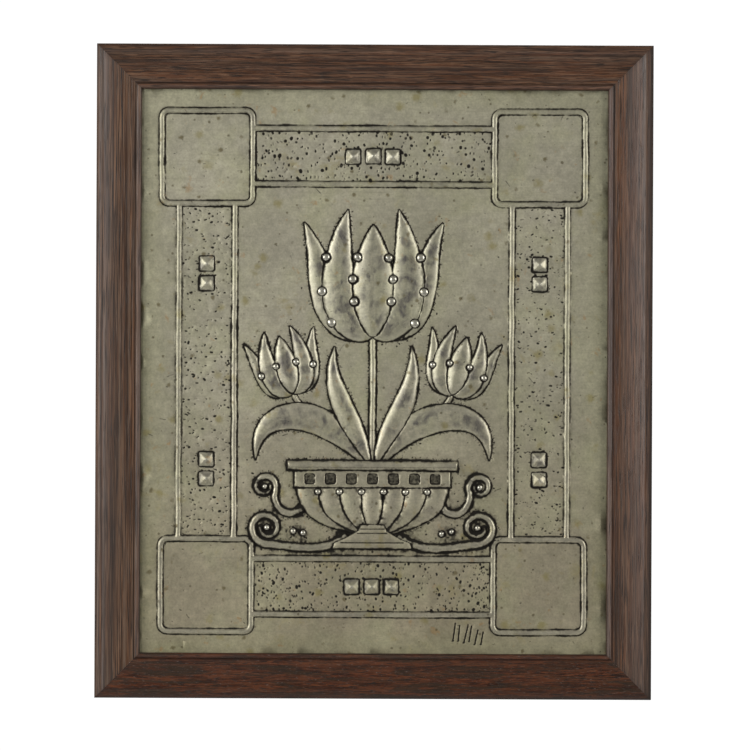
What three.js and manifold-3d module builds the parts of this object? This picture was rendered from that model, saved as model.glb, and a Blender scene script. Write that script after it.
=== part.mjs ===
// A chased pewter relief panel in a mitred wooden moulding, made to hang on a wall.
// Units are millimetres. The front faces -Y, the wall side is y = 0 and +Z is up.
// The origin is the middle of the flat back land of the top rail.

import * as THREE from 'three';
import { mergeVertices } from 'three/addons/utils/BufferGeometryUtils.js';
import Module from 'manifold-3d';

const wasm = await Module();
wasm.setup();

// Driving dimensions: the moulding

const FRAME_WIDTH = 305;
const FRAME_HEIGHT = 358.5;
const FRAME_DEPTH = 18;
const MOULDING_WIDTH = 24.5;
const MITRE_GAP = 0.3;

const SHOULDER_WIDTH = 4.4;
const SHOULDER_DROP = 3;
const HOLLOW_SAG = 0.9;
const HOLLOW_FOOT_HEIGHT = 12.5;
const QUIRK_WIDTH = 1.2;
const QUIRK_DEPTH = 1.2;
const LIP_BEAD_WIDTH = 3.3;
const LIP_HEIGHT = 13;
const LIP_EDGE_ROUND = 0.9;

const RABBET_WIDTH = 6.5;
const RABBET_DEPTH = 9.5;

// Driving dimensions: what sits in the rabbet

const FIT_GAP = 0.3;
const EDGE_CLEARANCE = 1;
const SHEET_THICKNESS = 1;
const BOARD_THICKNESS = 3;
const POINT_THICKNESS = 0.6;
const POINT_WIDTH = 6;
const POINT_GRIP = 6.5;
const POINT_REACH = 8;
const POINT_TIP = 3;
const POINT_FROM_CORNER = 82;

// Driving dimensions: the border of the relief

const BORDER_MARGIN = 10.2;
const BLOCK_WIDTH = 52.9;
const BLOCK_HEIGHT = 54;
const BLOCK_CORNER_RADIUS = 4;
const BAND_INSET = 11.1;
const BAND_WIDTH = 30.6;
const RIDGE_WIDTH = 3;
const BLOCK_RIDGE_HEIGHT = 1.3;
const BAND_RIDGE_HEIGHT = 1.2;

const STUD_SIZE = 8;
const STUD_HEIGHT = 2.2;
const STUD_RIM_WIDTH = 0.6;
const STUD_RIM_HEIGHT = 0.9;
const STUD_PITCH = 10.85;
const STUDS_IN_ROW = 3;
const STUDS_IN_PAIR = 2;
const STUD_ROW_SHIFT = -0.9;
const STUD_PAIR_LEVEL = 53.7;

// Driving dimensions: the plant in its bowl. It is drawn on a grid of its own,
// GRID_HEIGHT units from the foot of the bowl to the highest petal.

const PLANT_HEIGHT = 186;
const PLANT_CLEARANCE = 4;
const RELIEF_HEIGHT = 3;
const BEAD_SIZE = 4.4;
const SMALL_BEAD_SIZE = 3.2;
const BEAD_HEIGHT = 1.1;
const BEAD_SIDES = 6;
const WINDOW_SIZE = 5.4;
const WINDOW_DEPTH = 0.7;
const WINDOWS = 7;
const GRID_HEIGHT = 186;

// Worked out from the sizes above

const SIGHT_WIDTH = FRAME_WIDTH - 2 * MOULDING_WIDTH;
const SIGHT_HEIGHT = FRAME_HEIGHT - 2 * MOULDING_WIDTH;
const LAND_WIDTH = MOULDING_WIDTH - RABBET_WIDTH;
const INSERT_WIDTH = SIGHT_WIDTH + 2 * (RABBET_WIDTH - EDGE_CLEARANCE);
const INSERT_HEIGHT = SIGHT_HEIGHT + 2 * (RABBET_WIDTH - EDGE_CLEARANCE);

const SHEET_FRONT = RABBET_DEPTH - FIT_GAP;
const SHEET_BACK = SHEET_FRONT - SHEET_THICKNESS;
const BOARD_FRONT = SHEET_BACK - FIT_GAP;
const BOARD_BACK = BOARD_FRONT - BOARD_THICKNESS;
const POINT_FRONT = BOARD_BACK - FIT_GAP;
const POINT_BACK = POINT_FRONT - POINT_THICKNESS;

const BLOCK_OUTER_X = SIGHT_WIDTH / 2 - BORDER_MARGIN;
const BLOCK_OUTER_Y = SIGHT_HEIGHT / 2 - BORDER_MARGIN;
const BLOCK_INNER_X = BLOCK_OUTER_X - BLOCK_WIDTH;
const BLOCK_INNER_Y = BLOCK_OUTER_Y - BLOCK_HEIGHT;
const BAND_OUTER_X = BLOCK_OUTER_X - BAND_INSET;
const BAND_OUTER_Y = BLOCK_OUTER_Y - BAND_INSET;
const BAND_INNER_X = BAND_OUTER_X - BAND_WIDTH;
const BAND_INNER_Y = BAND_OUTER_Y - BAND_WIDTH;
const PLANT_FOOT_Y = -BAND_INNER_Y + RIDGE_WIDTH / 2 + PLANT_CLEARANCE;
const PLANT_SCALE = PLANT_HEIGHT / GRID_HEIGHT;

// Raised work starts inside the sheet, so that it joins it all round.
const ROOT = -SHEET_THICKNESS / 2;

// Solids and meshes

function toSolid(geometry) {
  const bare = geometry.index ? geometry.toNonIndexed() : geometry.clone();
  bare.deleteAttribute('normal');
  bare.deleteAttribute('uv');
  const merged = mergeVertices(bare, 1e-4);
  return new wasm.Manifold(new wasm.Mesh({
    numProp: 3,
    vertProperties: new Float32Array(merged.attributes.position.array),
    triVerts: new Uint32Array(merged.index.array),
  }));
}

function toGeometry(solid) {
  const mesh = solid.getMesh();
  const geometry = new THREE.BufferGeometry();
  geometry.setAttribute('position', new THREE.BufferAttribute(mesh.vertProperties, 3));
  geometry.setIndex(new THREE.BufferAttribute(mesh.triVerts, 1));
  geometry.computeVertexNormals();
  return geometry;
}

function namedMesh(name, geometry, material) {
  const mesh = new THREE.Mesh(geometry, material);
  mesh.name = name;
  return mesh;
}

function stainedOak() {
  return new THREE.MeshStandardMaterial({ color: 0x583f36, roughness: 0.55, metalness: 0 });
}

function oldPewter() {
  return new THREE.MeshStandardMaterial({ color: 0x94907d, roughness: 0.45, metalness: 0.85 });
}

function brownHardboard() {
  return new THREE.MeshStandardMaterial({ color: 0x7a5c40, roughness: 0.85, metalness: 0 });
}

function plainSteel() {
  return new THREE.MeshStandardMaterial({ color: 0x8c8c8c, roughness: 0.4, metalness: 0.9 });
}

// The moulding. A rail is worked out in its own frame: x runs from its outer edge
// inward, y from its back to the front, and z along it from corner to corner.

function arcPoints(centre, radiusX, radiusY, from, to, steps) {
  return Array.from({ length: steps + 1 }, (_, i) => {
    const angle = from + ((to - from) * i) / steps;
    return new THREE.Vector2(centre[0] + radiusX * Math.cos(angle), centre[1] + radiusY * Math.sin(angle));
  });
}

function mouldingProfile() {
  const quirkInner = MOULDING_WIDTH - LIP_BEAD_WIDTH;
  const quirkOuter = quirkInner - QUIRK_WIDTH;
  const shoulderFoot = FRAME_DEPTH - SHOULDER_DROP;
  const crest = new THREE.Vector2(SHOULDER_WIDTH, FRAME_DEPTH);
  const hollowFoot = new THREE.Vector2(quirkOuter, HOLLOW_FOOT_HEIGHT);
  const belly = crest.clone().lerp(hollowFoot, 0.5).sub(new THREE.Vector2(0, 2 * HOLLOW_SAG));
  const hollow = new THREE.QuadraticBezierCurve(crest, belly, hollowFoot);
  const lipMiddle = quirkInner + (LIP_BEAD_WIDTH - LIP_EDGE_ROUND) / 2;
  const bead = arcPoints(
    [lipMiddle, HOLLOW_FOOT_HEIGHT], (LIP_BEAD_WIDTH - LIP_EDGE_ROUND) / 2,
    LIP_HEIGHT - HOLLOW_FOOT_HEIGHT, Math.PI, Math.PI / 2, 3,
  );
  const sightEdge = arcPoints(
    [MOULDING_WIDTH - LIP_EDGE_ROUND, LIP_HEIGHT - LIP_EDGE_ROUND], LIP_EDGE_ROUND, LIP_EDGE_ROUND,
    Math.PI / 2, 0, 3,
  );
  return [
    new THREE.Vector2(0, 0),
    ...arcPoints([SHOULDER_WIDTH, shoulderFoot], SHOULDER_WIDTH, SHOULDER_DROP, Math.PI, Math.PI / 2, 5),
    ...hollow.getPoints(6).slice(1),
    new THREE.Vector2((quirkOuter + quirkInner) / 2, HOLLOW_FOOT_HEIGHT - QUIRK_DEPTH),
    ...bead,
    ...sightEdge,
    new THREE.Vector2(MOULDING_WIDTH, RABBET_DEPTH),
    new THREE.Vector2(LAND_WIDTH, RABBET_DEPTH),
    new THREE.Vector2(LAND_WIDTH, 0),
  ];
}

function mitredRail(length, pointStations) {
  const outline = new THREE.Shape(mouldingProfile());
  const geometry = new THREE.ExtrudeGeometry(outline, { depth: length, bevelEnabled: false, steps: 1 });
  const position = geometry.attributes.position;
  for (let i = 0; i < position.count; i += 1) {
    const fromOuterEdge = position.getX(i) + MITRE_GAP / 2;
    const atStart = position.getZ(i) < length / 2;
    position.setZ(i, atStart ? fromOuterEdge : length - fromOuterEdge);
  }
  return pointStations.reduce((rail, station) => rail.subtract(pointSlot(station)), toSolid(geometry));
}

function pointSlot(station) {
  const depth = POINT_GRIP + 2 * FIT_GAP;
  const box = new THREE.BoxGeometry(depth, POINT_THICKNESS + 2 * FIT_GAP, POINT_WIDTH + 2 * FIT_GAP);
  box.translate(LAND_WIDTH + FIT_GAP - depth / 2, (POINT_FRONT + POINT_BACK) / 2, station);
  return toSolid(box);
}

function glaziersPoint() {
  const tip = LAND_WIDTH - POINT_GRIP;
  const outline = new THREE.Shape([
    new THREE.Vector2(tip, 0),
    new THREE.Vector2(tip + POINT_TIP, -POINT_WIDTH / 2),
    new THREE.Vector2(LAND_WIDTH + POINT_REACH, -POINT_WIDTH / 2),
    new THREE.Vector2(LAND_WIDTH + POINT_REACH, POINT_WIDTH / 2),
    new THREE.Vector2(tip + POINT_TIP, POINT_WIDTH / 2),
  ]);
  const geometry = new THREE.ExtrudeGeometry(outline, { depth: POINT_THICKNESS, bevelEnabled: false });
  geometry.rotateX(-Math.PI / 2);
  geometry.translate(0, POINT_BACK, 0);
  return geometry;
}

// The four sides: the corner that each rail starts from, the way it runs from there
// and the way that points inward from its outer edge.
const SIDES = [
  {
    name: 'top', rail: 'top_rail', length: FRAME_WIDTH,
    corner: [1, 1], inward: [0, -1], along: [-1, 0],
  },
  {
    name: 'left', rail: 'left_stile', length: FRAME_HEIGHT,
    corner: [-1, 1], inward: [1, 0], along: [0, -1],
  },
  {
    name: 'bottom', rail: 'bottom_rail', length: FRAME_WIDTH,
    corner: [-1, -1], inward: [0, 1], along: [1, 0],
  },
  {
    name: 'right', rail: 'right_stile', length: FRAME_HEIGHT,
    corner: [1, -1], inward: [-1, 0], along: [0, 1],
  },
];

function sideGroup(side) {
  const group = new THREE.Group();
  const inward = new THREE.Vector3(...side.inward, 0);
  const forward = new THREE.Vector3(0, 0, 1);
  const along = new THREE.Vector3(...side.along, 0);
  group.quaternion.setFromRotationMatrix(new THREE.Matrix4().makeBasis(inward, forward, along));
  group.position.set((side.corner[0] * FRAME_WIDTH) / 2, (side.corner[1] * FRAME_HEIGHT) / 2, 0);

  const stations = [POINT_FROM_CORNER, side.length - POINT_FROM_CORNER];
  group.add(namedMesh(side.rail, toGeometry(mitredRail(side.length, stations)), stainedOak()));
  stations.forEach((station, i) => {
    const point = namedMesh(`${side.name}_glaziers_point_${i + 1}`, glaziersPoint(), plainSteel());
    point.position.z = station;
    group.add(point);
  });
  return group;
}

// Raised work. A ribbon follows a centre line over the sheet. Its half width varies
// along it, and its section rises steeply to an edge height and is domed between.

const WIDE_SECTION = [1, 0.62, 0, -0.62, -1];
const NARROW_SECTION = [1, 0.5, -0.5, -1];

function domeHeight(share, edge, crown, fullness) {
  return edge * Math.min(1, 1.5 * fullness) + crown * fullness * (1 - share * share) ** 0.75;
}

function ribbon({ path, half, edge, crown, section = WIDE_SECTION, closed = false }) {
  const widths = path.map((_, i) => half(i / (path.length - 1)));
  const widest = Math.max(...widths);
  const sections = path.map((point, i) => {
    const before = path[closed ? (i + path.length - 1) % path.length : Math.max(i - 1, 0)];
    const after = path[closed ? (i + 1) % path.length : Math.min(i + 1, path.length - 1)];
    const tangent = after.clone().sub(before).normalize();
    const fullness = (widths[i] / widest) ** 0.6;
    const place = (share, height) => [
      point.x - tangent.y * share * widths[i],
      point.y + tangent.x * share * widths[i],
      height,
    ];
    return [
      place(1, ROOT),
      ...section.map((share) => place(share, domeHeight(share, edge, crown, fullness))),
      place(-1, ROOT),
    ];
  });
  return loft(sections, closed);
}

// A closed skin over equal sections, each a ring of points, with flat ends
// unless the run of sections closes on itself.
function loft(sections, closed) {
  const ring = sections[0].length;
  const index = [];
  const runs = closed ? sections.length : sections.length - 1;
  for (let i = 0; i < runs; i += 1) {
    const here = i * ring;
    const next = ((i + 1) % sections.length) * ring;
    for (let j = 0; j < ring; j += 1) {
      const k = (j + 1) % ring;
      index.push(here + j, next + k, next + j, here + j, here + k, next + k);
    }
  }
  if (!closed) {
    const last = (sections.length - 1) * ring;
    for (let j = 1; j < ring - 1; j += 1) {
      index.push(0, j + 1, j, last, last + j, last + j + 1);
    }
  }
  const geometry = new THREE.BufferGeometry();
  geometry.setAttribute('position', new THREE.Float32BufferAttribute(sections.flat(2), 3));
  geometry.setIndex(index);
  return toSolid(geometry);
}

// A turned form with few sides, standing on the sheet: beads and studs.
function turned(profile, sides, x, y) {
  const points = [[0, ROOT], ...profile].map(([radius, height]) => new THREE.Vector2(radius, height));
  const geometry = new THREE.LatheGeometry(points, sides, Math.PI / sides);
  geometry.rotateX(Math.PI / 2);
  geometry.translate(x, y, 0);
  return toSolid(geometry);
}

function bead(x, y, size, top) {
  const radius = size / 2;
  const waist = top - BEAD_HEIGHT * 0.75;
  const shoulder = top - BEAD_HEIGHT * 0.2;
  return turned([[radius, ROOT], [radius, waist], [radius * 0.7, shoulder], [0, top]], BEAD_SIDES, x, y);
}

function pyramidStud(x, y) {
  const corner = (STUD_SIZE / 2) * Math.SQRT2;
  const inner = (STUD_SIZE / 2 - STUD_RIM_WIDTH) * Math.SQRT2;
  return turned([
    [corner, ROOT], [corner, STUD_RIM_HEIGHT * 0.7], [(corner + inner) / 2, STUD_RIM_HEIGHT],
    [inner, STUD_RIM_HEIGHT * 0.7], [0, STUD_HEIGHT],
  ], 4, x, y);
}

// The border: four corner blocks, four bands between them and the studs on the bands

function constant(value) {
  return () => value;
}

function blockRing(signX, signY) {
  const inset = RIDGE_WIDTH / 2;
  const halfWidth = BLOCK_WIDTH / 2 - inset;
  const halfHeight = BLOCK_HEIGHT / 2 - inset;
  const centreX = (signX * (BLOCK_OUTER_X + BLOCK_INNER_X)) / 2;
  const centreY = (signY * (BLOCK_OUTER_Y + BLOCK_INNER_Y)) / 2;
  const radius = BLOCK_CORNER_RADIUS;
  const path = [0, 1, 2, 3].flatMap((quarter) => {
    const start = (quarter * Math.PI) / 2;
    const right = quarter === 0 || quarter === 3 ? 1 : -1;
    const up = quarter < 2 ? 1 : -1;
    const corner = [centreX + right * (halfWidth - radius), centreY + up * (halfHeight - radius)];
    return arcPoints(corner, radius, radius, start, start + Math.PI / 2, 3);
  });
  const edge = BLOCK_RIDGE_HEIGHT * 0.4;
  const crown = BLOCK_RIDGE_HEIGHT - edge;
  return ribbon({ path, half: constant(inset), edge, crown, section: NARROW_SECTION, closed: true });
}

function straightRidge(from, to) {
  const edge = BAND_RIDGE_HEIGHT * 0.4;
  return ribbon({
    path: [new THREE.Vector2(...from), new THREE.Vector2(...to)],
    half: constant(RIDGE_WIDTH / 2), edge, crown: BAND_RIDGE_HEIGHT - edge, section: NARROW_SECTION,
  });
}

function borderSolids() {
  const solids = [];
  const reachX = BLOCK_INNER_X + RIDGE_WIDTH / 2;
  const reachY = BLOCK_INNER_Y + RIDGE_WIDTH / 2;
  const bandMiddleX = (BAND_OUTER_X + BAND_INNER_X) / 2;
  const bandMiddleY = (BAND_OUTER_Y + BAND_INNER_Y) / 2;
  for (const sign of [-1, 1]) {
    solids.push(blockRing(sign, 1), blockRing(sign, -1));
    for (const level of [BAND_OUTER_Y, BAND_INNER_Y]) {
      solids.push(straightRidge([-reachX, sign * level], [reachX, sign * level]));
    }
    for (const offset of [BAND_OUTER_X, BAND_INNER_X]) {
      solids.push(straightRidge([sign * offset, -reachY], [sign * offset, reachY]));
    }
    for (let i = 0; i < STUDS_IN_ROW; i += 1) {
      const along = (i - (STUDS_IN_ROW - 1) / 2) * STUD_PITCH;
      solids.push(pyramidStud(STUD_ROW_SHIFT + along, sign * bandMiddleY));
    }
    for (let i = 0; i < STUDS_IN_PAIR; i += 1) {
      const along = (i - (STUDS_IN_PAIR - 1) / 2) * STUD_PITCH;
      solids.push(pyramidStud(sign * bandMiddleX, STUD_PAIR_LEVEL + along));
      solids.push(pyramidStud(sign * bandMiddleX, -STUD_PAIR_LEVEL + along));
    }
  }
  return solids;
}

// The plant. Places on the grid have x from the middle line and y up from the foot.
// Heights are shares of RELIEF_HEIGHT; what lies in front starts higher.

function curve(points, steps) {
  const corners = points.map(([x, y]) => new THREE.Vector2(x, y));
  return new THREE.CubicBezierCurve(...corners).getPoints(steps);
}

function spiral(centre, startRadius, endRadius, startDegrees, turns, steps) {
  return Array.from({ length: steps + 1 }, (_, i) => {
    const share = i / steps;
    const angle = THREE.MathUtils.degToRad(startDegrees) + turns * 2 * Math.PI * share;
    const radius = startRadius + (endRadius - startRadius) * share;
    return new THREE.Vector2(centre[0] + radius * Math.cos(angle), centre[1] + radius * Math.sin(angle));
  });
}

function scroll({ from, handles, centre, startRadius, endRadius, startDegrees, turns }) {
  const coil = spiral(centre, startRadius, endRadius, startDegrees, turns, 17);
  return [...curve([from, ...handles, [coil[0].x, coil[0].y]], 6).slice(0, -1), ...coil];
}

function mirrored(path) {
  return path.map((point) => new THREE.Vector2(-point.x, point.y)).reverse();
}

// A leaf or petal: pointed at both ends, widest where skew puts it.
function leafWidth(width, skew, fill) {
  return (share) => width * Math.sin(Math.PI * share ** skew) ** fill + 0.15;
}

// Straight lines between [share along, half width] pairs.
function widthSteps(...pairs) {
  return (share) => {
    const next = Math.max(1, pairs.findIndex(([at]) => at >= share));
    const [from, fromWidth] = pairs[next - 1];
    const [to, toWidth] = pairs[next];
    return THREE.MathUtils.lerp(fromWidth, toWidth, (share - from) / (to - from));
  };
}

function onGrid({ path, half, edge, crown, section }) {
  return ribbon({
    section,
    path: path.map((point) => new THREE.Vector2(point.x, point.y)
      .multiplyScalar(PLANT_SCALE).add(new THREE.Vector2(0, PLANT_FOOT_Y))),
    half: (share) => half(share) * PLANT_SCALE,
    edge: edge * RELIEF_HEIGHT,
    crown: crown * RELIEF_HEIGHT,
  });
}

function bothSides(form) {
  const { half } = form;
  const left = { ...form, path: mirrored(form.path), half: (share) => half(1 - share) };
  return [onGrid(form), onGrid(left)];
}

function gridBead(x, y, size, lift) {
  return bead(x * PLANT_SCALE, y * PLANT_SCALE + PLANT_FOOT_Y, size, lift * RELIEF_HEIGHT + BEAD_HEIGHT);
}

// A place on the right-hand edge of a form, a share of the way along it.
function onEdge({ path, half }, share) {
  const at = share * (path.length - 1);
  const i = Math.min(Math.floor(at), path.length - 2);
  const run = path[i + 1].clone().sub(path[i]);
  const tangent = run.clone().normalize();
  return path[i].clone().addScaledVector(run, at - i)
    .add(new THREE.Vector2(tangent.y, -tangent.x).multiplyScalar(half(share)));
}

function stemsAndLeaves() {
  const mainStem = {
    path: [new THREE.Vector2(0, 45), new THREE.Vector2(0, 120)],
    half: constant(1.8), edge: 0.17, crown: 0.3, section: NARROW_SECTION,
  };
  const sideStem = {
    path: curve([[2, 45], [8, 76], [40, 66], [44, 88]], 10),
    half: constant(1.4), edge: 0.13, crown: 0.27, section: NARROW_SECTION,
  };
  const curlingLeaf = {
    path: curve([[3, 45], [20, 79], [66, 83], [64, 49]], 14),
    half: leafWidth(7.5, 0.8, 0.85), edge: 0.17, crown: 0.5,
  };
  const uprightLeaf = {
    path: curve([[1.5, 46], [9, 71], [26, 83], [21, 111]], 12),
    half: leafWidth(5.6, 0.9, 0.8), edge: 0.23, crown: 0.5,
  };
  return [...bothSides(sideStem), onGrid(mainStem), ...bothSides(curlingLeaf), ...bothSides(uprightLeaf)];
}

// A flower of five petals that open from one point. The outer pair lies lowest
// and the front petal highest. Beads sit on the seams where petals part.
const OUTER_PETAL = {
  path: curve([[0, 1], [32, -2], [24, 34], [38, 61]], 12),
  half: leafWidth(7.8, 0.8, 0.75),
};
const MIDDLE_PETAL = {
  path: curve([[0, 0], [23, 2], [22, 40], [14, 68]], 12),
  half: leafWidth(9.6, 0.78, 0.8),
};
const FRONT_PETAL = {
  path: curve([[0, -1], [0, 20], [0, 40], [0, 60]], 10),
  half: leafWidth(11, 0.85, 0.85),
};

function tulip({ base, leanDegrees, size, rise, beadSize, beadShares }) {
  const lean = THREE.MathUtils.degToRad(leanDegrees);
  const put = (point) => point.clone().multiplyScalar(size)
    .rotateAround(new THREE.Vector2(), -lean).add(new THREE.Vector2(...base));
  const petal = ({ path, half }, edge, crown) => onGrid({
    path: path.map(put), half: (share) => half(share) * size, edge: edge * rise, crown: crown * rise,
  });
  const flipped = ({ path, half }) => ({ path: mirrored(path), half: (share) => half(1 - share) });
  const seamBeads = (form, lift) => beadShares.flatMap((share) => {
    const right = onEdge(form, share);
    return [right, new THREE.Vector2(-right.x, right.y)].map(put)
      .map((place) => gridBead(place.x, place.y, beadSize, lift * rise));
  });
  return [
    ...[OUTER_PETAL, flipped(OUTER_PETAL)].map((form) => petal(form, 0.17, 0.33)),
    ...[MIDDLE_PETAL, flipped(MIDDLE_PETAL)].map((form) => petal(form, 0.33, 0.37)),
    petal(FRONT_PETAL, 0.57, 0.43),
    ...seamBeads(MIDDLE_PETAL, 0.36),
    ...seamBeads(FRONT_PETAL, 0.6),
  ];
}

function flowers() {
  const main = { size: 1, rise: 1, beadSize: BEAD_SIZE, beadShares: [0.3, 0.5, 0.7] };
  const side = { size: 0.52, rise: 0.75, beadSize: SMALL_BEAD_SIZE, beadShares: [0.5] };
  return [
    ...tulip({ ...main, base: [0, 118], leanDegrees: 0 }),
    ...tulip({ ...side, base: [44, 86], leanDegrees: 14 }),
    ...tulip({ ...side, base: [-44, 86], leanDegrees: -14 }),
  ];
}

// The bowl: gadroons under a band with sunk windows, a rounded rim and a spread foot
const LOBE_PITCH = 12;
const BAND_LEVEL = 38.5;
const BAND_REACH = 43;
const BAND_TOP = 0.45;
const BAND_CROWN = 0.08;

function bowl() {
  const places = [-3, -2, -1, 0, 1, 2, 3];
  const lobes = places.map((k) => onGrid({
    path: curve([[k * LOBE_PITCH, 36], [k * 12.3, 21], [k * 6.5, 13], [k * 2.6, 9.5]], 6),
    half: widthSteps([0, 5.9], [0.35, 5.6], [0.7, 3.2], [1, 1.6]),
    edge: 0.17, crown: 0.57 - 0.02 * Math.abs(k),
  }));
  const seams = places.slice(1).map((k) => gridBead((k - 0.5) * LOBE_PITCH, 31.5, SMALL_BEAD_SIZE, 0.36));
  const across = (level, reach) => [new THREE.Vector2(-reach, level), new THREE.Vector2(reach, level)];
  return [
    ...lobes,
    ...seams,
    onGrid({
      path: curve([[0, 13], [0, 9], [0, 4], [0, 0]], 5),
      half: widthSteps([0, 6.5], [0.25, 8], [0.55, 15], [0.75, 21], [1, 22]), edge: 0.4, crown: 0.33,
    }),
    onGrid({
      path: across(BAND_LEVEL, BAND_REACH), half: constant(4.6), edge: BAND_TOP - BAND_CROWN, crown: BAND_CROWN,
    }),
    onGrid({ path: across(45.8, 47), half: constant(2.6), edge: 0.47, crown: 0.37 }),
  ];
}

function bandWindows() {
  const depth = RELIEF_HEIGHT;
  const pitch = (2 * BAND_REACH - WINDOW_SIZE) / WINDOWS;
  return Array.from({ length: WINDOWS }, (_, i) => {
    const x = (i - (WINDOWS - 1) / 2) * pitch;
    const box = new THREE.BoxGeometry(WINDOW_SIZE, WINDOW_SIZE, depth);
    const floor = BAND_TOP * RELIEF_HEIGHT - WINDOW_DEPTH;
    box.translate(x * PLANT_SCALE, BAND_LEVEL * PLANT_SCALE + PLANT_FOOT_Y, floor + depth / 2);
    return toSolid(box);
  });
}

function scrolls() {
  const foot = scroll({
    from: [14, 7], handles: [[26, -3], [43, 0.9]], centre: [58, 11.5],
    startRadius: 9, endRadius: 3.4, startDegrees: -84, turns: 1.25,
  });
  const handle = scroll({
    from: [37, 24], handles: [[46, 13], [55.6, 24]], centre: [59, 34],
    startRadius: 6.5, endRadius: 3, startDegrees: 200, turns: -1.1,
  });
  const footWidth = widthSteps([0, 2.3], [0.5, 1.8], [1, 1]);
  const handleWidth = widthSteps([0, 2], [0.5, 1.6], [1, 0.9]);
  const spots = [[38, 8.5], [43.5, 9.5], [58, 11.5], [59, 34]];
  return [
    ...bothSides({ path: foot, half: footWidth, edge: 0.17, crown: 0.3, section: NARROW_SECTION }),
    ...bothSides({ path: handle, half: handleWidth, edge: 0.17, crown: 0.27, section: NARROW_SECTION }),
    ...spots.flatMap(([x, y]) => [-x, x].map((place) => gridBead(place, y, SMALL_BEAD_SIZE, 0.1))),
  ];
}

function plantSolids() {
  return [...stemsAndLeaves(), ...flowers(), ...scrolls(), ...bowl()];
}

// The sheet with its raised work, flat behind

function pewterPanel() {
  const slab = new THREE.BoxGeometry(INSERT_WIDTH, INSERT_HEIGHT, SHEET_THICKNESS);
  slab.translate(0, 0, -SHEET_THICKNESS / 2);
  const raised = [...borderSolids(), ...plantSolids()];
  const whole = raised.reduce((joined, solid) => joined.add(solid), toSolid(slab));
  const panel = bandWindows().reduce((carved, window) => carved.subtract(window), whole);
  const mesh = namedMesh('pewter_panel', toGeometry(panel), oldPewter());
  mesh.position.z = SHEET_FRONT;
  return mesh;
}

function backingBoard() {
  const mesh = namedMesh(
    'backing_board', new THREE.BoxGeometry(INSERT_WIDTH, INSERT_HEIGHT, BOARD_THICKNESS), brownHardboard(),
  );
  mesh.position.z = (BOARD_FRONT + BOARD_BACK) / 2;
  return mesh;
}

// Everything is laid out facing +Z, about the middle of the picture, and stood up at the end.

const picture = new THREE.Group();
picture.add(...SIDES.map(sideGroup), pewterPanel(), backingBoard());
picture.rotation.x = Math.PI / 2;
picture.position.z = -(FRAME_HEIGHT - LAND_WIDTH) / 2;

const panelInFrame = new THREE.Group();
panelInFrame.add(picture);

export default panelInFrame;
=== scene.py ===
"""Looks for a chased pewter panel in a mitred, stained oak moulding that hangs on a wall.

Shapes are worked out in millimetres in the picture's own frame: x to the right and y up
from the middle of the panel, z from the wall side towards the viewer. They become metres
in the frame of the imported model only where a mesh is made.
"""
import math

import bmesh
import bpy
import numpy as np
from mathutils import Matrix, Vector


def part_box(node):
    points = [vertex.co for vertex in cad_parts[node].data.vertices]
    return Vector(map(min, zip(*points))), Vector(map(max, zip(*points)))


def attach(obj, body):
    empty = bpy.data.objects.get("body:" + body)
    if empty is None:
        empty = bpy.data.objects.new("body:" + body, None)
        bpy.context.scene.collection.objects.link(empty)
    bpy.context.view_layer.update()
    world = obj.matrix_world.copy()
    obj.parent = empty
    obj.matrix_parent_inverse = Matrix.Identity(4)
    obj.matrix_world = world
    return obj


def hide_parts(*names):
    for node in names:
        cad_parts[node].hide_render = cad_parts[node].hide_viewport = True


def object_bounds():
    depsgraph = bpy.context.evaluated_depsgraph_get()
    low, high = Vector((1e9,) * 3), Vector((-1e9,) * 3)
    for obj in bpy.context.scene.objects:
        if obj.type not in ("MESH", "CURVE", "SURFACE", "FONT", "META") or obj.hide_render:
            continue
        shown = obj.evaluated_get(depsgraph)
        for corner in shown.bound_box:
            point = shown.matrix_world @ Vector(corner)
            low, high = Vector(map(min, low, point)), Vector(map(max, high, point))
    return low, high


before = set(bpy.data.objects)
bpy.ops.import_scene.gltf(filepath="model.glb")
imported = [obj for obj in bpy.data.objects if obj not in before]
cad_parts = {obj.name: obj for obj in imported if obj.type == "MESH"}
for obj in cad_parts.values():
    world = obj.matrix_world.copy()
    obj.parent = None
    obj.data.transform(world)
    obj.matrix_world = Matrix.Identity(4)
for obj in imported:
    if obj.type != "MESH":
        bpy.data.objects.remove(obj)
cad_low, cad_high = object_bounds()

MM = 0.001
SEED = 1907


# Sizes of the panel and its moulding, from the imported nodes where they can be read

def box_in_mm(node):
    low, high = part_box(node)
    return np.array(low) / MM, np.array(high) / MM


SHEET_LOW, SHEET_HIGH = box_in_mm("pewter_panel")
RAIL_LOW, RAIL_HIGH = box_in_mm("top_rail")
BOARD_LOW, BOARD_HIGH = box_in_mm("backing_board")

SHEET_SIZE = (SHEET_HIGH - SHEET_LOW)[[0, 2]]
SHEET_THICKNESS = 1.0
SHEET_BACK = -SHEET_HIGH[1]
SHEET_FRONT = SHEET_BACK + SHEET_THICKNESS
CENTRE_Z = (SHEET_LOW[2] + SHEET_HIGH[2]) / 2

FRAME_SIZE = np.array([cad_high[i] / MM - cad_low[i] / MM for i in (0, 2)])
FRAME_DEPTH = RAIL_HIGH[1] - RAIL_LOW[1]
MOULDING_WIDTH = RAIL_HIGH[2] - RAIL_LOW[2]

SHOULDER_WIDTH = 4.4
SHOULDER_DROP = 3.0
HOLLOW_SAG = 0.9
HOLLOW_FOOT_HEIGHT = 12.5
QUIRK_WIDTH = 1.1
QUIRK_DEPTH = 0.5
LIP_BEAD_WIDTH = 2.65
LIP_HEIGHT = 13.0
LIP_CREST_SHARE = 0.42
LIP_EDGE_DROP = 1.6
RABBET_WIDTH = 6.5
RABBET_DEPTH = 9.5
GLUE_LINE = 0.06

SIGHT_SIZE = FRAME_SIZE - 2 * MOULDING_WIDTH
LAND_WIDTH = MOULDING_WIDTH - RABBET_WIDTH

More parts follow.
